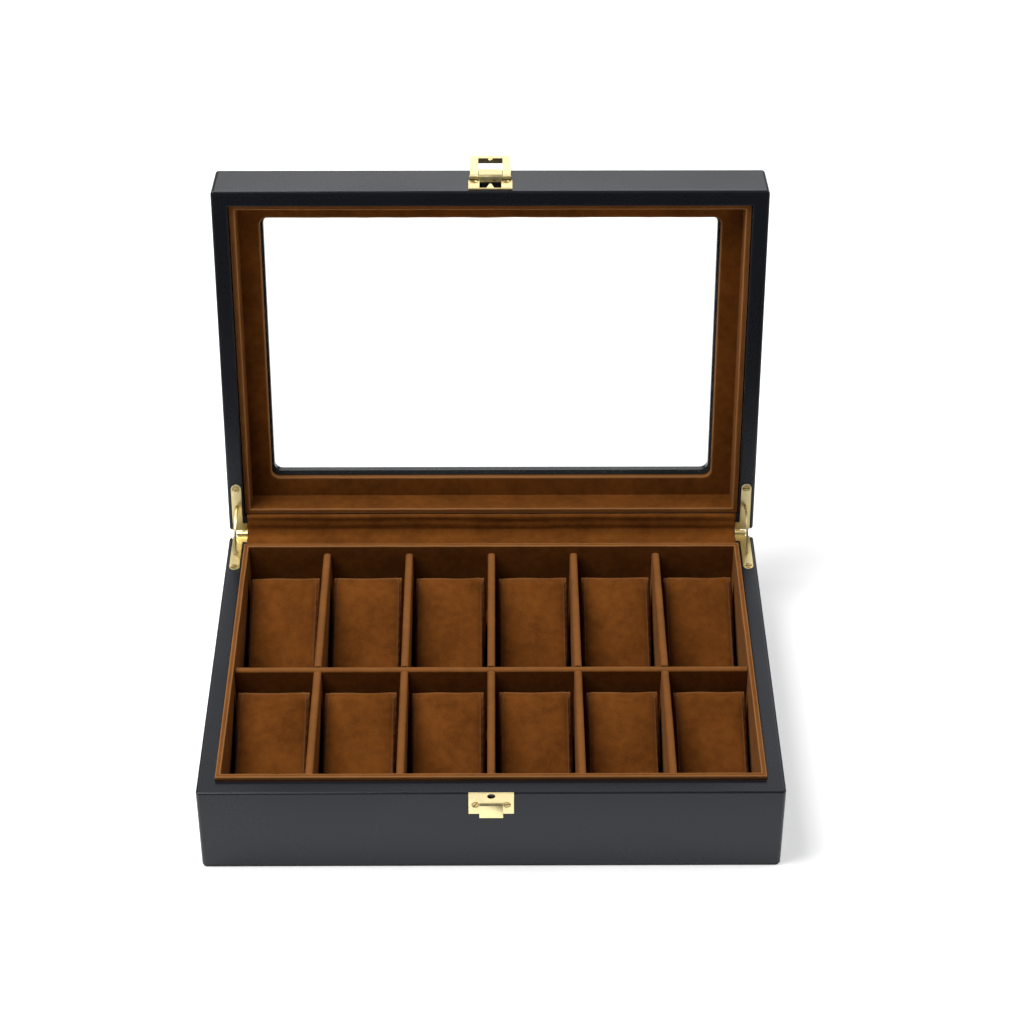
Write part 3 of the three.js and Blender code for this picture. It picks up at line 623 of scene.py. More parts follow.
LID_IN = LID_WALL + 0.25 * MM
LID_LINING = 3.6 * MM
ring_low = LID_RIM + 3.3 * MM
ring_high = FRAME_UNDER - (0.25 + 3 + 0.25 + 3.5 + 0.25) * MM
lid_lining_section = (
    [(LID_IN, ring_high, 0.0)]
    + rolled(LID_IN, LID_IN + LID_LINING, ring_low, 0.6 * MM, up=-1)
    + [(LID_IN + LID_LINING, ring_low + k * 4 * MM, 0.0) for k in (1, 2, 3)]
    + [(LID_IN + LID_LINING, ring_high, 0.0)]
)


def lid_soft(point, edge):
    inside = abs(point.x) < HALF_W - LID_IN - 0.5 * MM and abs(point.y) < HALF_D - LID_IN - 0.5 * MM
    return soft_point(point, edge) if inside and point.z < ring_high - MM else point


lid_lining = shell(
    "lid_lining", lid_lining_section, lambda inset: 0.4 * MM, suede, LID_TURN, side_cuts=40, soften=lid_soft
)
smooth(lid_lining, 50)
settle(lid_lining, "lid", "suede lining", "lid_lining_walls")

# %% Cloth frame round the window
frame_high = ring_high + 0.25 * MM + 3.5 * MM
frame_low = ring_high + 0.25 * MM
STEP_IN = WINDOW_IN - 1.5 * MM


def window_radius(inset):
    return 0.5 * MM if inset < LID_IN + 6 * MM else WINDOW_CORNER + STEP_IN - inset


# The roll round the window is marked as an edge, so its cloth is painted lighter: partly wear, partly a painted
# highlight along the window.
window_section = (
    [(LID_IN, frame_high, 0.0), (LID_IN, frame_low, 0.0), (LID_IN + 5 * MM, frame_low, 0.0)]
    + [(LID_IN + 9 * MM, frame_low, 0.0), (STEP_IN - 2 * MM, frame_low, 0.0)]
    + [(STEP_IN - 0.9 * MM, frame_low, 0.1)]
    + bend(STEP_IN - 0.6 * MM, frame_low + 0.6 * MM, 0.6 * MM, 270, 360, steps=3)
    + [(STEP_IN, frame_high, 0.0)]
)
window_lining = shell(
    "window_lining", window_section, window_radius, suede, LID_TURN, side_cuts=40,
    soften=lambda p, e: soft_point(p, e) if e else p,
)
smooth(window_lining, 50)
settle(window_lining, "lid", "suede lining", "lid_lining_frame")
print("linings done")

# %% [markdown]
# ## Dividers
#
# Five cross dividers and a long one slide into each other with half laps: the cross ones are notched from
# above and the long one from below, so the long one runs over them. Each is drawn as a row of stations
# along its length. A station is one upright slice with a rounded top, so notches and rounded ends are
# only a change of height from one station to the next.

# %% Dividers
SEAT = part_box("divider_cross_1")[0].z
DIVIDER_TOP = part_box("divider_long")[1].z
LONG_LOW, LONG_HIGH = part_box("divider_long")
LONG_Y = (LONG_LOW.y + LONG_HIGH.y) / 2
LAP = (SEAT + DIVIDER_TOP) / 2
ROUND_STEPS = 8


def slice_points(half, low, top):
    """An upright slice seen end on: straight sides and a rounded top."""
    crown = min(1.3 * MM, top - low)
    side = [(-half, low, 0.0), (-half, (low + top - crown) / 2, 0.0)]
    angles = [math.pi - math.pi * k / ROUND_STEPS for k in range(ROUND_STEPS + 1)]
    # The edge value rises to 0.45 on top of the crown, where the cloth is painted lighter: a painted highlight
    # along each divider's top, with a little wear.
    arch = [(half * math.cos(a), top - crown + crown * math.sin(a), 0.45 * math.sin(a)) for a in angles]
    return side + arch + [(half, (low + top - crown) / 2, 0.0), (half, low, 0.0)]


def board(name, half, stations, put, slices=slice_points):
    """A cloth-covered board from its stations (place along it, low, top)."""
    points, edges = [], []
    for along, low, top in stations:
        for across, z, edge in slices(half, low, top):
            point = put(along, across, z)
            points.append(soft_point(point, edge, 0.16 * MM) if z > low else point)
            edges.append(edge)
    columns = len(points) // len(stations)
    faces = grid_faces(len(stations), columns, wrap_rows=False)
    ends = [tuple(range(columns)), tuple(range(len(points) - columns, len(points)))]
    piece = new_piece(name, points, faces + ends, suede, edges)
    return smooth(piece, 50)


def cross_stations(low_y, high_y):
    end = 3 * MM
    stations = []
    for k in range(7):
        turn = math.radians(15 * k)
        stations.append((low_y + end * (1 - math.cos(turn)), SEAT, DIVIDER_TOP - end * (1 - math.sin(turn))))
    straight = np.linspace(low_y + end, high_y - end, 46)[1:-1]
    notch = (LONG_Y - 2.35 * MM, LONG_Y + 2.35 * MM)
    for y in straight:
        if not notch[0] - MM < y < notch[1] + MM:
            stations.append((float(y), SEAT, DIVIDER_TOP))
    for y, top in zip((notch[0] - 0.02 * MM, *notch, notch[1] + 0.02 * MM), (DIVIDER_TOP, LAP, LAP, DIVIDER_TOP)):
        stations.append((y, SEAT, top))
    for k in range(6, -1, -1):
        turn = math.radians(15 * k)
        stations.append((high_y - end * (1 - math.cos(turn)), SEAT, DIVIDER_TOP - end * (1 - math.sin(turn))))
    return sorted(stations)


for i in range(1, 6):
    low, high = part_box(f"divider_cross_{i}")
    x, half = (low.x + high.x) / 2, (high.x - low.x) / 2
    cross = board(
        f"cross_divider_{i}", half, cross_stations(low.y, high.y), lambda y, across, z: Vector((x + across, y, z))
    )
    settle(cross, "base", "suede lining", f"divider_cross_{i}")

long_stations = []
notches = []
for i in range(1, 6):
    low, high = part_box(f"divider_cross_{i}")
    notches.append((low.x - 0.2 * MM, high.x + 0.2 * MM))
marks = [float(x) for x in np.linspace(LONG_LOW.x, LONG_HIGH.x, 90)]
for x in marks:
    if not any(low - MM < x < high + MM for low, high in notches):
        long_stations.append((x, SEAT, DIVIDER_TOP))
for low, high in notches:
    for x, floor in ((low - 0.02 * MM, SEAT), (low, LAP), (high, LAP), (high + 0.02 * MM, SEAT)):
        long_stations.append((x, floor, DIVIDER_TOP))
    long_stations.append(((low + high) / 2, LAP, DIVIDER_TOP))
long_half = (LONG_HIGH.y - LONG_LOW.y) / 2
long_divider = board(
    "long_divider", long_half, sorted(long_stations), lambda x, across, z: Vector((x, LONG_Y + across, z))
)
settle(long_divider, "base", "suede lining", "divider_long")
print("dividers done")

# %% [markdown]
# ## Cushions
#
# A watch is strapped round a small wedge-shaped cushion that is stuffed with foam. A hand-shaped block would
# look hard, so one is really inflated: a wedge a little too small is remeshed into even squares, and Cloth
# with pressure swells it for twenty frames. How far each point may move is capped, least on the face and
# most on the sides, which bulge between their seams. The solver suits cloth of half a metre, so the wedge
# is simulated eight times too large and then shrunk.

# %% The wedge before it is stuffed
CUSHION_LOW, CUSHION_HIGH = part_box("cushion_front_1")
CUSHION_W = CUSHION_HIGH.x - CUSHION_LOW.x
CUSHION_L = CUSHION_HIGH.y - CUSHION_LOW.y
CUSHION_H = CUSHION_HIGH.z - CUSHION_LOW.z
SLOPE = math.radians(20)
SIM_SCALE = 8
START_IN = 1.3 * MM
SIDE_IN = 2.6 * MM
SEAM_IN = 3.1 * MM


def round_corner(outline, radii, steps=4):
    """Rounds each corner of a polygon given anticlockwise."""
    points = []
    for i, here in enumerate(outline):
        before, after = Vector(outline[i - 1]), Vector(outline[(i + 1) % len(outline)])
        here = Vector(here)
        a, b = (before - here).normalized(), (after - here).normalized()
        reach = radii[i] / math.tan(a.angle(b) / 2)
        first, last = here + a * reach, here + b * reach
        for k in range(steps + 1):
            t = k / steps
            points.append((1 - t) ** 2 * first + 2 * t * (1 - t) * here + t**2 * last)
    return points


def wedge_profile(inset):
    """The cushion from the side, as (y, z), with y = 0 at its back and z = 0 at its foot."""
    front_z = CUSHION_H - math.tan(SLOPE) * (CUSHION_L - 2 * MM)
    corners = [
        (-inset, inset),
        (-inset, CUSHION_H - inset),
        (inset - CUSHION_L, front_z - inset),
        (inset - CUSHION_L, inset),
    ]
    return round_corner(corners, (3.0 * MM, 0.8 * MM, 4.0 * MM, 3.0 * MM))


def wedge(name, seed):
    """The wedge cloth is cut a little small, with gentle dents that differ from one to the next."""
    outline = wedge_profile(START_IN)
    half = CUSHION_W / 2 - SIDE_IN
    stations = [half * k / 6 for k in range(-6, 7)]
    points = [Vector((x, y, z)) for x in stations for y, z in outline]
    columns = len(outline)
    faces = grid_faces(len(stations), columns, wrap_rows=False)
    faces += [tuple(range(columns)), tuple(range(len(points) - columns, len(points)))]
    piece = new_piece(name, [p * SIM_SCALE for p in points], faces, cushion_suede)
    remesh = piece.modifiers.new("even squares", "REMESH")
    remesh.mode, remesh.voxel_size = "VOXEL", 2.1 * MM * SIM_SCALE
    bake(piece)
    for vertex in piece.data.vertices:
        spot = vertex.co / SIM_SCALE
        dent = noise.noise(spot * 45 + Vector((seed * 7.3, 0, 0)))
        vertex.co += vertex.normal * dent * 0.5 * MM * SIM_SCALE
    return piece


# %% Stuff a cushion
SIM_FRAMES = 20


def stuff(piece):
    """Swells the wedge with Cloth, capping how far each point moves."""
    start = [v.co.copy() for v in piece.data.vertices]
    normals = [v.normal.copy() for v in piece.data.vertices]
    cloth = piece.modifiers.new("stuffing", "CLOTH")
    cloth.settings.use_pressure = True
    cloth.settings.uniform_pressure_force = 4
    cloth.settings.effector_weights.gravity = 0
    cloth.settings.quality = 6
    cloth.point_cache.frame_start, cloth.point_cache.frame_end = 1, SIM_FRAMES
    for step in range(1, SIM_FRAMES + 1):
        bpy.context.scene.frame_set(step)
    bake(piece)
    bpy.context.scene.frame_set(1)
    moved = 0.0
    for vertex, was, normal in zip(piece.data.vertices, start, normals):
        cap = (1.0 + 1.5 * normal.x**2) * MM * SIM_SCALE
        step = vertex.co - was
        if step.length > cap:
            vertex.co = was + step.normalized() * cap
        moved = max(moved, (vertex.co - was).length / SIM_SCALE)
    print(piece.name, "swelled by up to", round(moved / MM, 2), "mm")
    return piece


def crisp(share, start, power):
    """Moves a share of 0 to 1 towards 1 past the start, so that a round shoulder becomes a tighter one."""
    if share < start:
        return share
    return start + (1 - start) * (1 - (1 - (share - start) / (1 - start)) ** power)


def tighten(mesh):
    """Cloth pulled over foam has tight corners: its shoulders move out to the sides and to the back edge."""
    half = max(abs(v.co.x) for v in mesh.vertices)
    for vertex in mesh.vertices:
        side = 1 if vertex.co.x > 0 else -1
        vertex.co.x = side * half * crisp(abs(vertex.co.x) / half, 0.6, 1.9)
        reach = math.hypot(CUSHION_H - vertex.co.z, vertex.co.y)
        push = 1.5 * MM * math.exp(-((reach / (3.4 * MM)) ** 2))
        vertex.co.y = min(vertex.co.y + push, 0.0)
        vertex.co.z = min(vertex.co.z + push, CUSHION_H)


def fill_box(mesh):
    """Stretches the stuffed shape by the last few tenths, so that it fills its place exactly."""
    low = Vector([min(v.co[i] for v in mesh.vertices) for i in range(3)])
    high = Vector([max(v.co[i] for v in mesh.vertices) for i in range(3)])
    want_low, want_high = Vector((-CUSHION_W / 2, -CUSHION_L, 0)), Vector((CUSHION_W / 2, 0, CUSHION_H))
    print("stuffed size", [round(v / MM, 1) for v in high - low], "mm")
    for vertex in mesh.vertices:
        for i in range(3):
            share = (vertex.co[i] - low[i]) / (high[i] - low[i])
            vertex.co[i] = want_low[i] + share * (want_high[i] - want_low[i])


def finish_cushion(piece):
    """Back to real size, one subdivision, and the seams drawn in as shallow grooves."""
    piece.data.transform(Matrix.Scale(1 / SIM_SCALE, 4))
    fill_box(piece.data)
    finer = piece.modifiers.new("finer", "SUBSURF")
    finer.levels = finer.render_levels = 1
    bake(piece)
    fill_box(piece.data)
    tighten(piece.data)
    seam_x = CUSHION_W / 2 - SEAM_IN
    edges = []
    for vertex in piece.data.vertices:
        off = abs(abs(vertex.co.x) - seam_x)
        groove = math.exp(-((off / (0.9 * MM)) ** 2))
        if abs(vertex.normal.x) < 0.85:
            vertex.co -= vertex.normal * groove * 0.45 * MM
        # The edge mark paints the cushion cloth lighter along the back top edge, along the sides and a little on
        # the seams: a painted highlight where those edges catch the light, with some wear.
        top = CUSHION_H - vertex.co.z - 0.2 * MM
        back = -vertex.co.y
        fold = math.exp(-((math.hypot(top, back) / (1.7 * MM)) ** 2))
        side = math.exp(-(((CUSHION_W / 2 - abs(vertex.co.x)) / (1.2 * MM)) ** 2)) * 0.2
        edges.append(min(1.0, fold + side + groove * 0.25))
    low_x, high_x = -CUSHION_W / 2, CUSHION_W / 2
    for vertex in piece.data.vertices:
        vertex.co.x = min(max(vertex.co.x, low_x), high_x)
        vertex.co.y = min(max(vertex.co.y, -CUSHION_L), 0.0)
        vertex.co.z = min(max(vertex.co.z, 0.0), CUSHION_H)
    piece.data.attributes.new("edge", "FLOAT", "POINT").data.foreach_set("value", edges)
    piece.data.shade_smooth()
    return piece


patterns = []
for seed in range(3):
    pattern = wedge(f"cushion_pattern_{seed}", seed)
    stuff(pattern)
    patterns.append(finish_cushion(pattern))

# %% [markdown]
# ### Seams on the cushions
#
# The side panels are sewn to the face with a thin welt and a row of small stitches. Both follow the same
# closed line round the cushion, which is a job for Geometry Nodes: one branch sweeps a small circle along
# the line, and the other sets a stitch on it every few millimetres, turned to follow it.

# %% A Geometry Nodes tree
class Recipe(Tree):
    """A Geometry Nodes tree with named inputs."""

    def __init__(self, name, **sizes):
        group = bpy.data.node_groups.new(name, "GeometryNodeTree")
        super().__init__(group)
        group.interface.new_socket("Geometry", in_out="INPUT", socket_type="NodeSocketGeometry")
        group.interface.new_socket("Geometry", in_out="OUTPUT", socket_type="NodeSocketGeometry")
        self.keys = {}
        for size, value in sizes.items():
            title = size.replace("_", " ").capitalize()
            socket = group.interface.new_socket(title, in_out="INPUT", socket_type="NodeSocketFloat")
            socket.default_value = value
            self.keys[size] = socket.identifier
        self.entry = self.tree.nodes.new("NodeGroupInput")
        self.names = ["geometry", *sizes]

    def given(self, name):
        return Signal(self, self.entry.outputs[self.names.index(name)])

    def close(self, geometry, material):
        """Ends the tree as a plain mesh in one material."""
        real = self.node("GeometryNodeRealizeInstances", None, {0: geometry})
        painted = self.node("GeometryNodeSetMaterial", None, {0: real, "Material": material})
        exit_node = self.tree.nodes.new("NodeGroupOutput")
        self.feed(exit_node.inputs[0], painted)
        return self


def grow(recipe, piece, **sizes):
    """Runs a tree on a piece and keeps the result as its plain mesh."""
    modifier = piece.modifiers.new(recipe.tree.name, "NODES")
    modifier.node_group = recipe.tree
    for size, value in sizes.items():
        modifier[recipe.keys[size]] = value
    return bake(piece)


# %% The seam's tree
def seam_recipe():
    seam = Recipe("sewn_seam", welt_radius=0.42 * MM, stitch_gap=2.7 * MM, stitch_length=1.7 * MM,
                  stitch_width=0.36 * MM, stitch_in=1.5 * MM)
    line = seam.node("GeometryNodeMeshToCurve", None, {0: seam.given("geometry")})
    circle = seam.node("GeometryNodeCurvePrimitiveCircle", None,
                       {"Resolution": 8, "Radius": seam.given("welt_radius")})
    welt = seam.node("GeometryNodeCurveToMesh", None, {0: line, "Profile Curve": circle})
    spots = seam.node("GeometryNodeResampleCurve", {"mode": "LENGTH"},
                      {0: line, "Length": seam.given("stitch_gap")})
    place = seam.node("GeometryNodeInputPosition")
    x = seam.node("ShaderNodeSeparateXYZ", None, {0: place})
    side = seam.node("ShaderNodeMath", {"operation": "SIGN"}, {0: x})
    shift = seam.node("ShaderNodeCombineXYZ", None, {0: side * seam.given("stitch_in") * -1.0})
    spots = seam.node("GeometryNodeSetPosition", None, {0: spots, "Offset": shift})
    ball = seam.node("GeometryNodeMeshUVSphere", None, {"Segments": 6, "Rings": 4, "Radius": 0.5})
    size = seam.node("ShaderNodeCombineXYZ", None, {
        0: seam.given("stitch_length"), 1: seam.given("stitch_width"), 2: seam.given("stitch_width")})
    tangent = seam.node("GeometryNodeInputTangent")
    turn = seam.node("FunctionNodeAlignRotationToVector", {"axis": "X"}, {"Vector": tangent})
    stitches = seam.node("GeometryNodeInstanceOnPoints", None,
                         {0: spots, "Instance": ball, "Rotation": turn, "Scale": size})
    both = seam.tree.nodes.new("GeometryNodeJoinGeometry")
    for branch in (welt, stitches):
        seam.tree.links.new(branch.socket, both.inputs[0])
    rounded = seam.node("GeometryNodeSetShadeSmooth", None, {0: Signal(seam, both.outputs[0])})
    return seam.close(rounded, thread)


def seam_lines(pattern):
    """Two closed lines on the cushion's surface, found by looking outwards from inside it."""
    points, links = [], []
    seam_x = CUSHION_W / 2 - SEAM_IN
    middle_y, middle_z = -CUSHION_L * 0.45, CUSHION_H * 0.36
    count = 120
    for side in (-1, 1):
        first = len(points)
        for k in range(count):
            angle = 2 * math.pi * k / count
            ray = Vector((0, math.cos(angle), math.sin(angle)))
            hit, spot, normal, _ = pattern.ray_cast((side * seam_x, middle_y, middle_z), ray)
            points.append(tuple(spot + normal * 0.05 * MM) if hit else points[-1])
            links.append((first + k, first + (k + 1) % count))
    mesh = bpy.data.meshes.new("seam_line")
    mesh.from_pydata(points, links, [])
    piece = bpy.data.objects.new("seam_line", mesh)
    bpy.context.scene.collection.objects.link(piece)
    return piece


sewn_seam = seam_recipe()
bpy.context.view_layer.update()
seams = [grow(sewn_seam, seam_lines(pattern)) for pattern in patterns]
print("one cushion's seams:", len(seams[0].data.polygons), "faces")

# %% Lay the cushions in their places
def copy_at(pattern, name, shift):
    piece = bpy.data.objects.new(name, pattern.data.copy())
    bpy.context.scene.collection.objects.link(piece)
    piece.data.transform(Matrix.Translation(shift))
    return piece


for row_index, row in enumerate(("back", "front")):
    for i in range(1, 7):
        name = f"cushion_{row}_{i}"
        low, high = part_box(name)
        shift = Vector(((low.x + high.x) / 2, high.y, low.z))
        choice = (i + row_index) % len(patterns)
        cushion = copy_at(patterns[choice], f"{name}_pad", shift)
        settle(cushion, name, "cushion suede", name)
        seam = copy_at(seams[choice], f"{name}_seam", shift)
        settle(seam, name, "cushion suede")
for used in patterns + seams:
    bpy.data.objects.remove(used)
print("twelve cushions laid")

# %% [markdown]
# ## The cloth over the hinge gap
#
# A strip of the lining cloth is glued along both back rims and bridges the gap between them. It is one
# sheet, drawn with the lid open, that lies on the base at one edge and on the lid at the other. It is drawn
# as a line in side view, carried across the box, with the flat creases of cloth that is folded often.

# %% Hinge cloth
CLOTH_THICK = 0.45 * MM
CLOTH_HALF = HALF_W - FOOT_IN - 0.1 * MM
CLOTH_COLUMNS = 150


def shut_to_open(y, z):
    turned = LID_TURN @ Vector((0, y, z))
    return turned.y, turned.z


def cloth_line():
    """The cloth in side view, as (y, z) points from the inside of the base rim to that of the lid."""
    low = RIM - STRIP_DEEP + 0.5 * MM
    high = LID_RIM + STRIP_DEEP - 0.5 * MM
    line = [(HALF_D - WALL + 0.35 * MM + k * 0.6 * MM, low) for k in range(16)]
    line += [(HALF_D + 0.4 * MM, RIM + 0.1 * MM), (HALF_D + 1.3 * MM, RIM + 0.45 * MM)]
    line += [(HALF_D + 2.1 * MM, RIM + 1.1 * MM)]
    shut = [(HALF_D - 0.2 * MM - k * 0.6 * MM, high) for k in range(16)]
    inner = HALF_D - LID_WALL - 0.35 * MM
    shut += [(inner, high + 0.25 * MM), (inner - 0.15 * MM, high + 0.9 * MM), (inner - 0.15 * MM, high + 2.0 * MM)]
    return line + [shut_to_open(y, z) for y, z in shut]


def crease(along, x):
    """How far the cloth stands up or lies down, in metres."""
    drift = noise.noise(Vector((x * 14, along * 30, 3.1))) * 1.6
    fold = math.sin(along / (5.6 * MM) * 2 * math.pi + drift)
    fine = noise.noise(Vector((x * 60, along * 900, 8.7)))
    return (0.15 * fold + 0.1 * fine) * MM


def hinge_cloth():
    line = [Vector(p) for p in cloth_line()]
    points, along = [], 0.0
    for i, here in enumerate(line):
        before, after = line[max(i - 1, 0)], line[min(i + 1, len(line) - 1)]
        along += (here - before).length
        heading = (after - before).normalized()
        up = Vector((-heading.y, heading.x))
        for j in range(CLOTH_COLUMNS):
            x = CLOTH_HALF * (2 * j / (CLOTH_COLUMNS - 1) - 1)
            spot = here + up * crease(along, x)
            points.append(Vector((x, spot.x, spot.y)))
    faces = grid_faces(len(line), CLOTH_COLUMNS, wrap_rows=False, wrap_columns=False)
    piece = new_piece("hinge_cloth", points, faces, suede, [0.0] * len(points))
    thick = piece.modifiers.new("thickness", "SOLIDIFY")
    thick.thickness, thick.offset = CLOTH_THICK, 0
    bake(piece)
    piece.data.shade_smooth()
    return piece, along


cloth, cloth_length = hinge_cloth()
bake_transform(cloth)
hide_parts("hinge_strip_base", "hinge_strip_lid")
print("hinge cloth is", round(cloth_length / MM, 1), "mm long from rim to rim")

# %% [markdown]
# ## Hinges and latch
#
# The solids of the metalwork have the right shape but razor-sharp edges, and real stamped plate never
# does. Each is copied, its loose triangles are merged, and a fine Bevel turns its edges so that they
# catch the light. The solids themselves are left alone and hidden.

# %% Metal with eased edges
def eased_copy(node, name, width):
    """A copy of a metal solid with merged triangles and small bevels on its sharp edges."""
    source = frame["nodes"][node]
    made = bmesh.new()
    made.from_mesh(source.data)
    bmesh.ops.remove_doubles(made, verts=made.verts, dist=2e-6)
    bmesh.ops.dissolve_limit(made, angle_limit=math.radians(0.5), verts=made.verts, edges=made.edges)
    mesh = bpy.data.meshes.new(name)
    made.to_mesh(mesh)
    made.free()
    mesh.materials.clear()
    mesh.materials.append(gold)
    piece = bpy.data.objects.new(name, mesh)
    bpy.context.scene.collection.objects.link(piece)
    piece.data.shade_smooth()
    piece.data.set_sharp_from_angle(angle=math.radians(28))
    ease = piece.modifiers.new("eased edges", "BEVEL")
    ease.width, ease.segments, ease.limit_method = width, 2, "ANGLE"
    ease.angle_limit = math.radians(34)
    ease.use_clamp_overlap = True
    ease.harden_normals = True
    return bake(piece)


metal = {
    "catch_plate": ("base", 0.16),
    "hasp_plate": ("lid", 0.16),
    "hasp_pin": ("lid", 0.12),
    "hasp_frame": ("hasp", 0.18),
}
for word in ("left", "right"):
    metal[f"hinge_{word}_base_leaf"] = ("base", 0.14)
    metal[f"hinge_{word}_lid_leaf"] = ("lid", 0.14)
    metal[f"hinge_{word}_pin"] = ("base", 0.14)
    metal[f"hinge_{word}_stay"] = (f"stay_{word}", 0.14)
for node, (body, width) in metal.items():
    settle(eased_copy(node, node + "_metal", width * MM), body, "gold metal", node)
print(len(metal), "pieces of metalwork")

# %% [markdown]
# ### Screws
#
# Eight slotted countersunk screws hold the hinges and the latch. They repeat, so one Geometry Nodes tree
# makes them: a cone and a rod joined, a slot taken out by Mesh Boolean, and the result set on marked
# points. Each point carries the turn of its screw, because no two slots end up in line.

# %% Screws
def screw_recipe():
    screw = Recipe("slotted_screws", head_radius=2.2 * MM, head_depth=1.1 * MM, shank_radius=1.05 * MM,
                   shank_length=6 * MM, slot_width=0.85 * MM, slot_depth=0.7 * MM)
    head_radius, head_depth = screw.given("head_radius"), screw.given("head_depth")
    head = screw.node("GeometryNodeMeshCone", None, {
        "Vertices": 32, "Radius Top": head_radius, "Radius Bottom": screw.given("shank_radius"),
        "Depth": head_depth})
    drop = screw.node("ShaderNodeCombineXYZ", None, {2: head_depth * -1.0})
    head = screw.node("GeometryNodeTransform", None, {0: head, "Translation": drop})
    rod = screw.node("GeometryNodeMeshCone", None, {
        "Vertices": 16, "Radius Top": screw.given("shank_radius") * 0.98, "Radius Bottom": 0.3 * MM,
        "Depth": screw.given("shank_length")})
    sink = screw.node("ShaderNodeCombineXYZ", None, {
        2: (screw.given("shank_length") + head_depth) * -1.0 + 0.1 * MM})
    rod = screw.node("GeometryNodeTransform", None, {0: rod, "Translation": sink})
    bar_size = screw.node("ShaderNodeCombineXYZ", None, {
        0: head_radius * 3.0, 1: screw.given("slot_width"), 2: screw.given("slot_depth") * 2.0})
    bar = screw.node("GeometryNodeMeshCube", None, {"Size": bar_size})
    joined = screw.add("GeometryNodeMeshBoolean", {"operation": "UNION", "solver": "EXACT"})
    for branch in (head, rod):
        screw.tree.links.new(branch.socket, joined.inputs["Mesh 2"])
    whole = Signal(screw, joined.outputs[0])
    slotted = screw.add("GeometryNodeMeshBoolean", {"operation": "DIFFERENCE", "solver": "EXACT"})
    screw.tree.links.new(whole.socket, slotted.inputs["Mesh 1"])
    screw.tree.links.new(bar.socket, slotted.inputs["Mesh 2"])
    turn = screw.node("GeometryNodeInputNamedAttribute", {"data_type": "FLOAT_VECTOR"}, {"Name": "turn"})
    size = screw.node("GeometryNodeInputNamedAttribute", {"data_type": "FLOAT"}, {"Name": "size"})
    placed = screw.node("GeometryNodeInstanceOnPoints", None, {
        0: screw.given("geometry"), "Instance": Signal(screw, slotted.outputs[0]),
        "Rotation": turn, "Scale": size})
    return screw.close(placed, darker_gold)


def screw_spot(node, turn, facing):
    """Where a screw's head is: the middle of its solid, at the end that faces outwards."""
    points = [turn.inverted() @ v.co for v in frame["nodes"][node].data.vertices]
    low = Vector([min(p[i] for p in points) for i in range(3)])
    high = Vector([max(p[i] for p in points) for i in range(3)])
    middle = (low + high) / 2
    reach = abs((high - low).dot(facing)) / 2
    radius = min(high[i] - low[i] for i in range(3)) / 2
    return middle + facing * reach, radius


def screws(name, body, turn, spots):
    """All the screws of one body; spots are (node, the way its head faces, turn of its slot)."""
    places, turns, sizes = [], [], []
    for node, facing, slot_turn in spots:
        place, radius = screw_spot(node, turn, Vector(facing))
        upright = Vector(facing).to_track_quat("Z", "Y").to_matrix().to_4x4()
        whole = turn.to_3x3().to_4x4() @ upright @ Matrix.Rotation(math.radians(slot_turn), 4, "Z")
        places.append(turn @ place)
        turns += list(whole.to_euler())
        sizes.append(0.92 * radius / (2.2 * MM))
    mesh = bpy.data.meshes.new(name)
    mesh.from_pydata([tuple(p) for p in places], [], [])
    mesh.attributes.new("turn", "FLOAT_VECTOR", "POINT").data.foreach_set("vector", turns)
    mesh.attributes.new("size", "FLOAT", "POINT").data.foreach_set("value", sizes)
    piece = bpy.data.objects.new(name, mesh)
    bpy.context.scene.collection.objects.link(piece)
    grow(slotted_screws, piece)
    return settle(piece, body, "gold metal", *[node for node, _, _ in spots])


slotted_screws = screw_recipe()
UP, DOWN, OUT = (0, 0, 1), (0, 0, -1), (0, -1, 0)
screws("base_screws", "base", Matrix.Identity(4), [
    ("hinge_left_base_screw", UP, 35), ("hinge_right_base_screw", UP, -20),
    ("catch_screw_left", OUT, 62), ("catch_screw_right", OUT, 10)])
screws("lid_screws", "lid", LID_TURN, [
    ("hinge_left_lid_screw", DOWN, 50), ("hinge_right_lid_screw", DOWN, 5),
    ("hasp_screw_left", OUT, -35), ("hasp_screw_right", OUT, 24)])
print("eight screws")

# %% [markdown]
# ## Finishes on the solids that stay
#
# The pane, its gasket, the floor board with its lining and the felt underneath are plain shapes already,
# so their solids stay in view and only get their finishes.

# %% Paint the solids that stay
for node, material in {
    "lid_glass": glass, "lid_gasket": rubber, "base_felt": felt, "base_floor": lacquer,
    "base_floor_lining": suede,
}.items():
    for place in frame["nodes"][node].material_slots:
        place.material = material

# %% [markdown]
# ## Floor, light and camera
#
# A white sweep lit by large soft lamps shows dark satin lacquer best: there is little light on it, and what
# is seen is the reflection of the white around it. One lamp hangs high on the left for the soft shadow on
# the right, and one behind gives the upper faces their sheen. A weak one on the right opens up
# the walls inside. The room is darker in front than behind. A dark cloth lies on the floor in front: it is
# seen only in reflections, so the upright faces of the lid stay black.

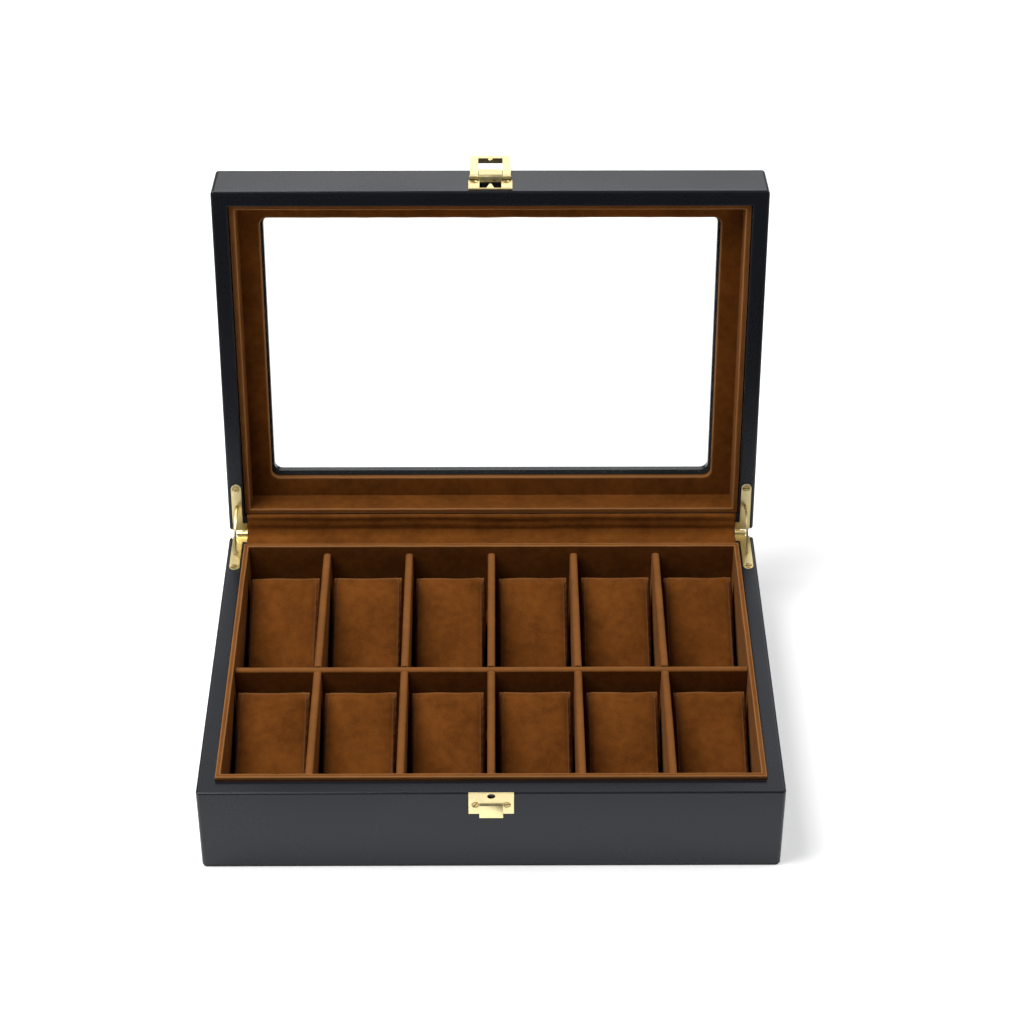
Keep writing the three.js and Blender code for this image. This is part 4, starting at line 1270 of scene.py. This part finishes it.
# %% Floor and lamps
sweep = Finish("white_sweep", Roughness=1.0, Specular_IOR_Level=0.0,
               Emission_Color=(1, 1, 1, 1), Emission_Strength=0.37)
sweep_tone = sweep.blend(sweep.cloud(0.4), (0.9, 0.9, 0.905, 1), (0.93, 0.93, 0.93, 1))
sweep_material = sweep.set(Base_Color=sweep_tone)
reach = 6.0
corners = [(-reach, -reach, 0), (reach, -reach, 0), (reach, reach, 0), (-reach, reach, 0)]
floor = new_piece("studio_floor", corners, [(0, 1, 2, 3)], sweep_material)
dark = Finish("dark_cloth", Roughness=1.0)
dark_weave = dark.blend(dark.cloud(1 * MM), (0.03, 0.03, 0.03, 1), (0.05, 0.05, 0.05, 1))
near, far, lift = -0.195, -2.6, 0.001
corners = [(-2.5, far, lift), (2.5, far, lift), (2.5, near, lift), (-2.5, near, lift)]
flag = new_piece("dark_cloth_in_front", corners, [(0, 1, 2, 3)], dark.set(Base_Color=dark_weave))
flag.visible_camera = flag.visible_shadow = flag.visible_diffuse = False


def soft_lamp(name, place, target, size, watts):
    lamp = bpy.data.lights.new(name, "AREA")
    lamp.shape, lamp.size, lamp.energy = "SQUARE", size, watts
    holder = bpy.data.objects.new(name, lamp)
    holder.location = place
    holder.rotation_euler = (Vector(target) - Vector(place)).to_track_quat("-Z", "Y").to_euler()
    bpy.context.scene.collection.objects.link(holder)


soft_lamp("key_lamp", (-0.75, -0.1, 1.6), (0, 0, 0.05), 1.1, 36)
soft_lamp("rear_lamp", (0.1, 1.7, 1.2), (0, 0.1, 0.1), 1.3, 8.5)
soft_lamp("side_lamp", (1.5, 0.05, 1.0), (0, 0, 0.05), 1.0, 13)

world = bpy.data.worlds.new("studio")
world.use_nodes = True
room = Tree(world.node_tree)
facing = room.node("ShaderNodeSeparateXYZ", None, {0: room.node("ShaderNodeTexCoord")}, out=1)
spans = {0: facing, 1: -0.9, 2: 0.5, 3: 0.4, 4: 0.66}
room.feed(world.node_tree.nodes["Background"].inputs[1], room.node("ShaderNodeMapRange", None, spans))
bpy.context.scene.world = world
bpy.context.scene.view_settings.view_transform = "Standard"

# %% Camera
camera_data = bpy.data.cameras.new("camera")
camera_data.lens, camera_data.sensor_width = 90.13, 36
camera_data.shift_y = -0.08008
camera = bpy.data.objects.new("camera", camera_data)
camera.location = (3.75 * MM, -1171.4 * MM, 1077.2 * MM)
tilt = Matrix.Rotation(math.radians(-0.412), 4, "Z") @ Matrix.Rotation(math.radians(90 - 35.955), 4, "X")
camera.rotation_euler = (tilt @ Matrix.Rotation(math.radians(0.131), 4, "Z")).to_euler()
bpy.context.scene.collection.objects.link(camera)
bpy.context.scene.camera = camera

# %% [markdown]
# ## The last update

# %% Update the scene
bpy.context.view_layer.update()
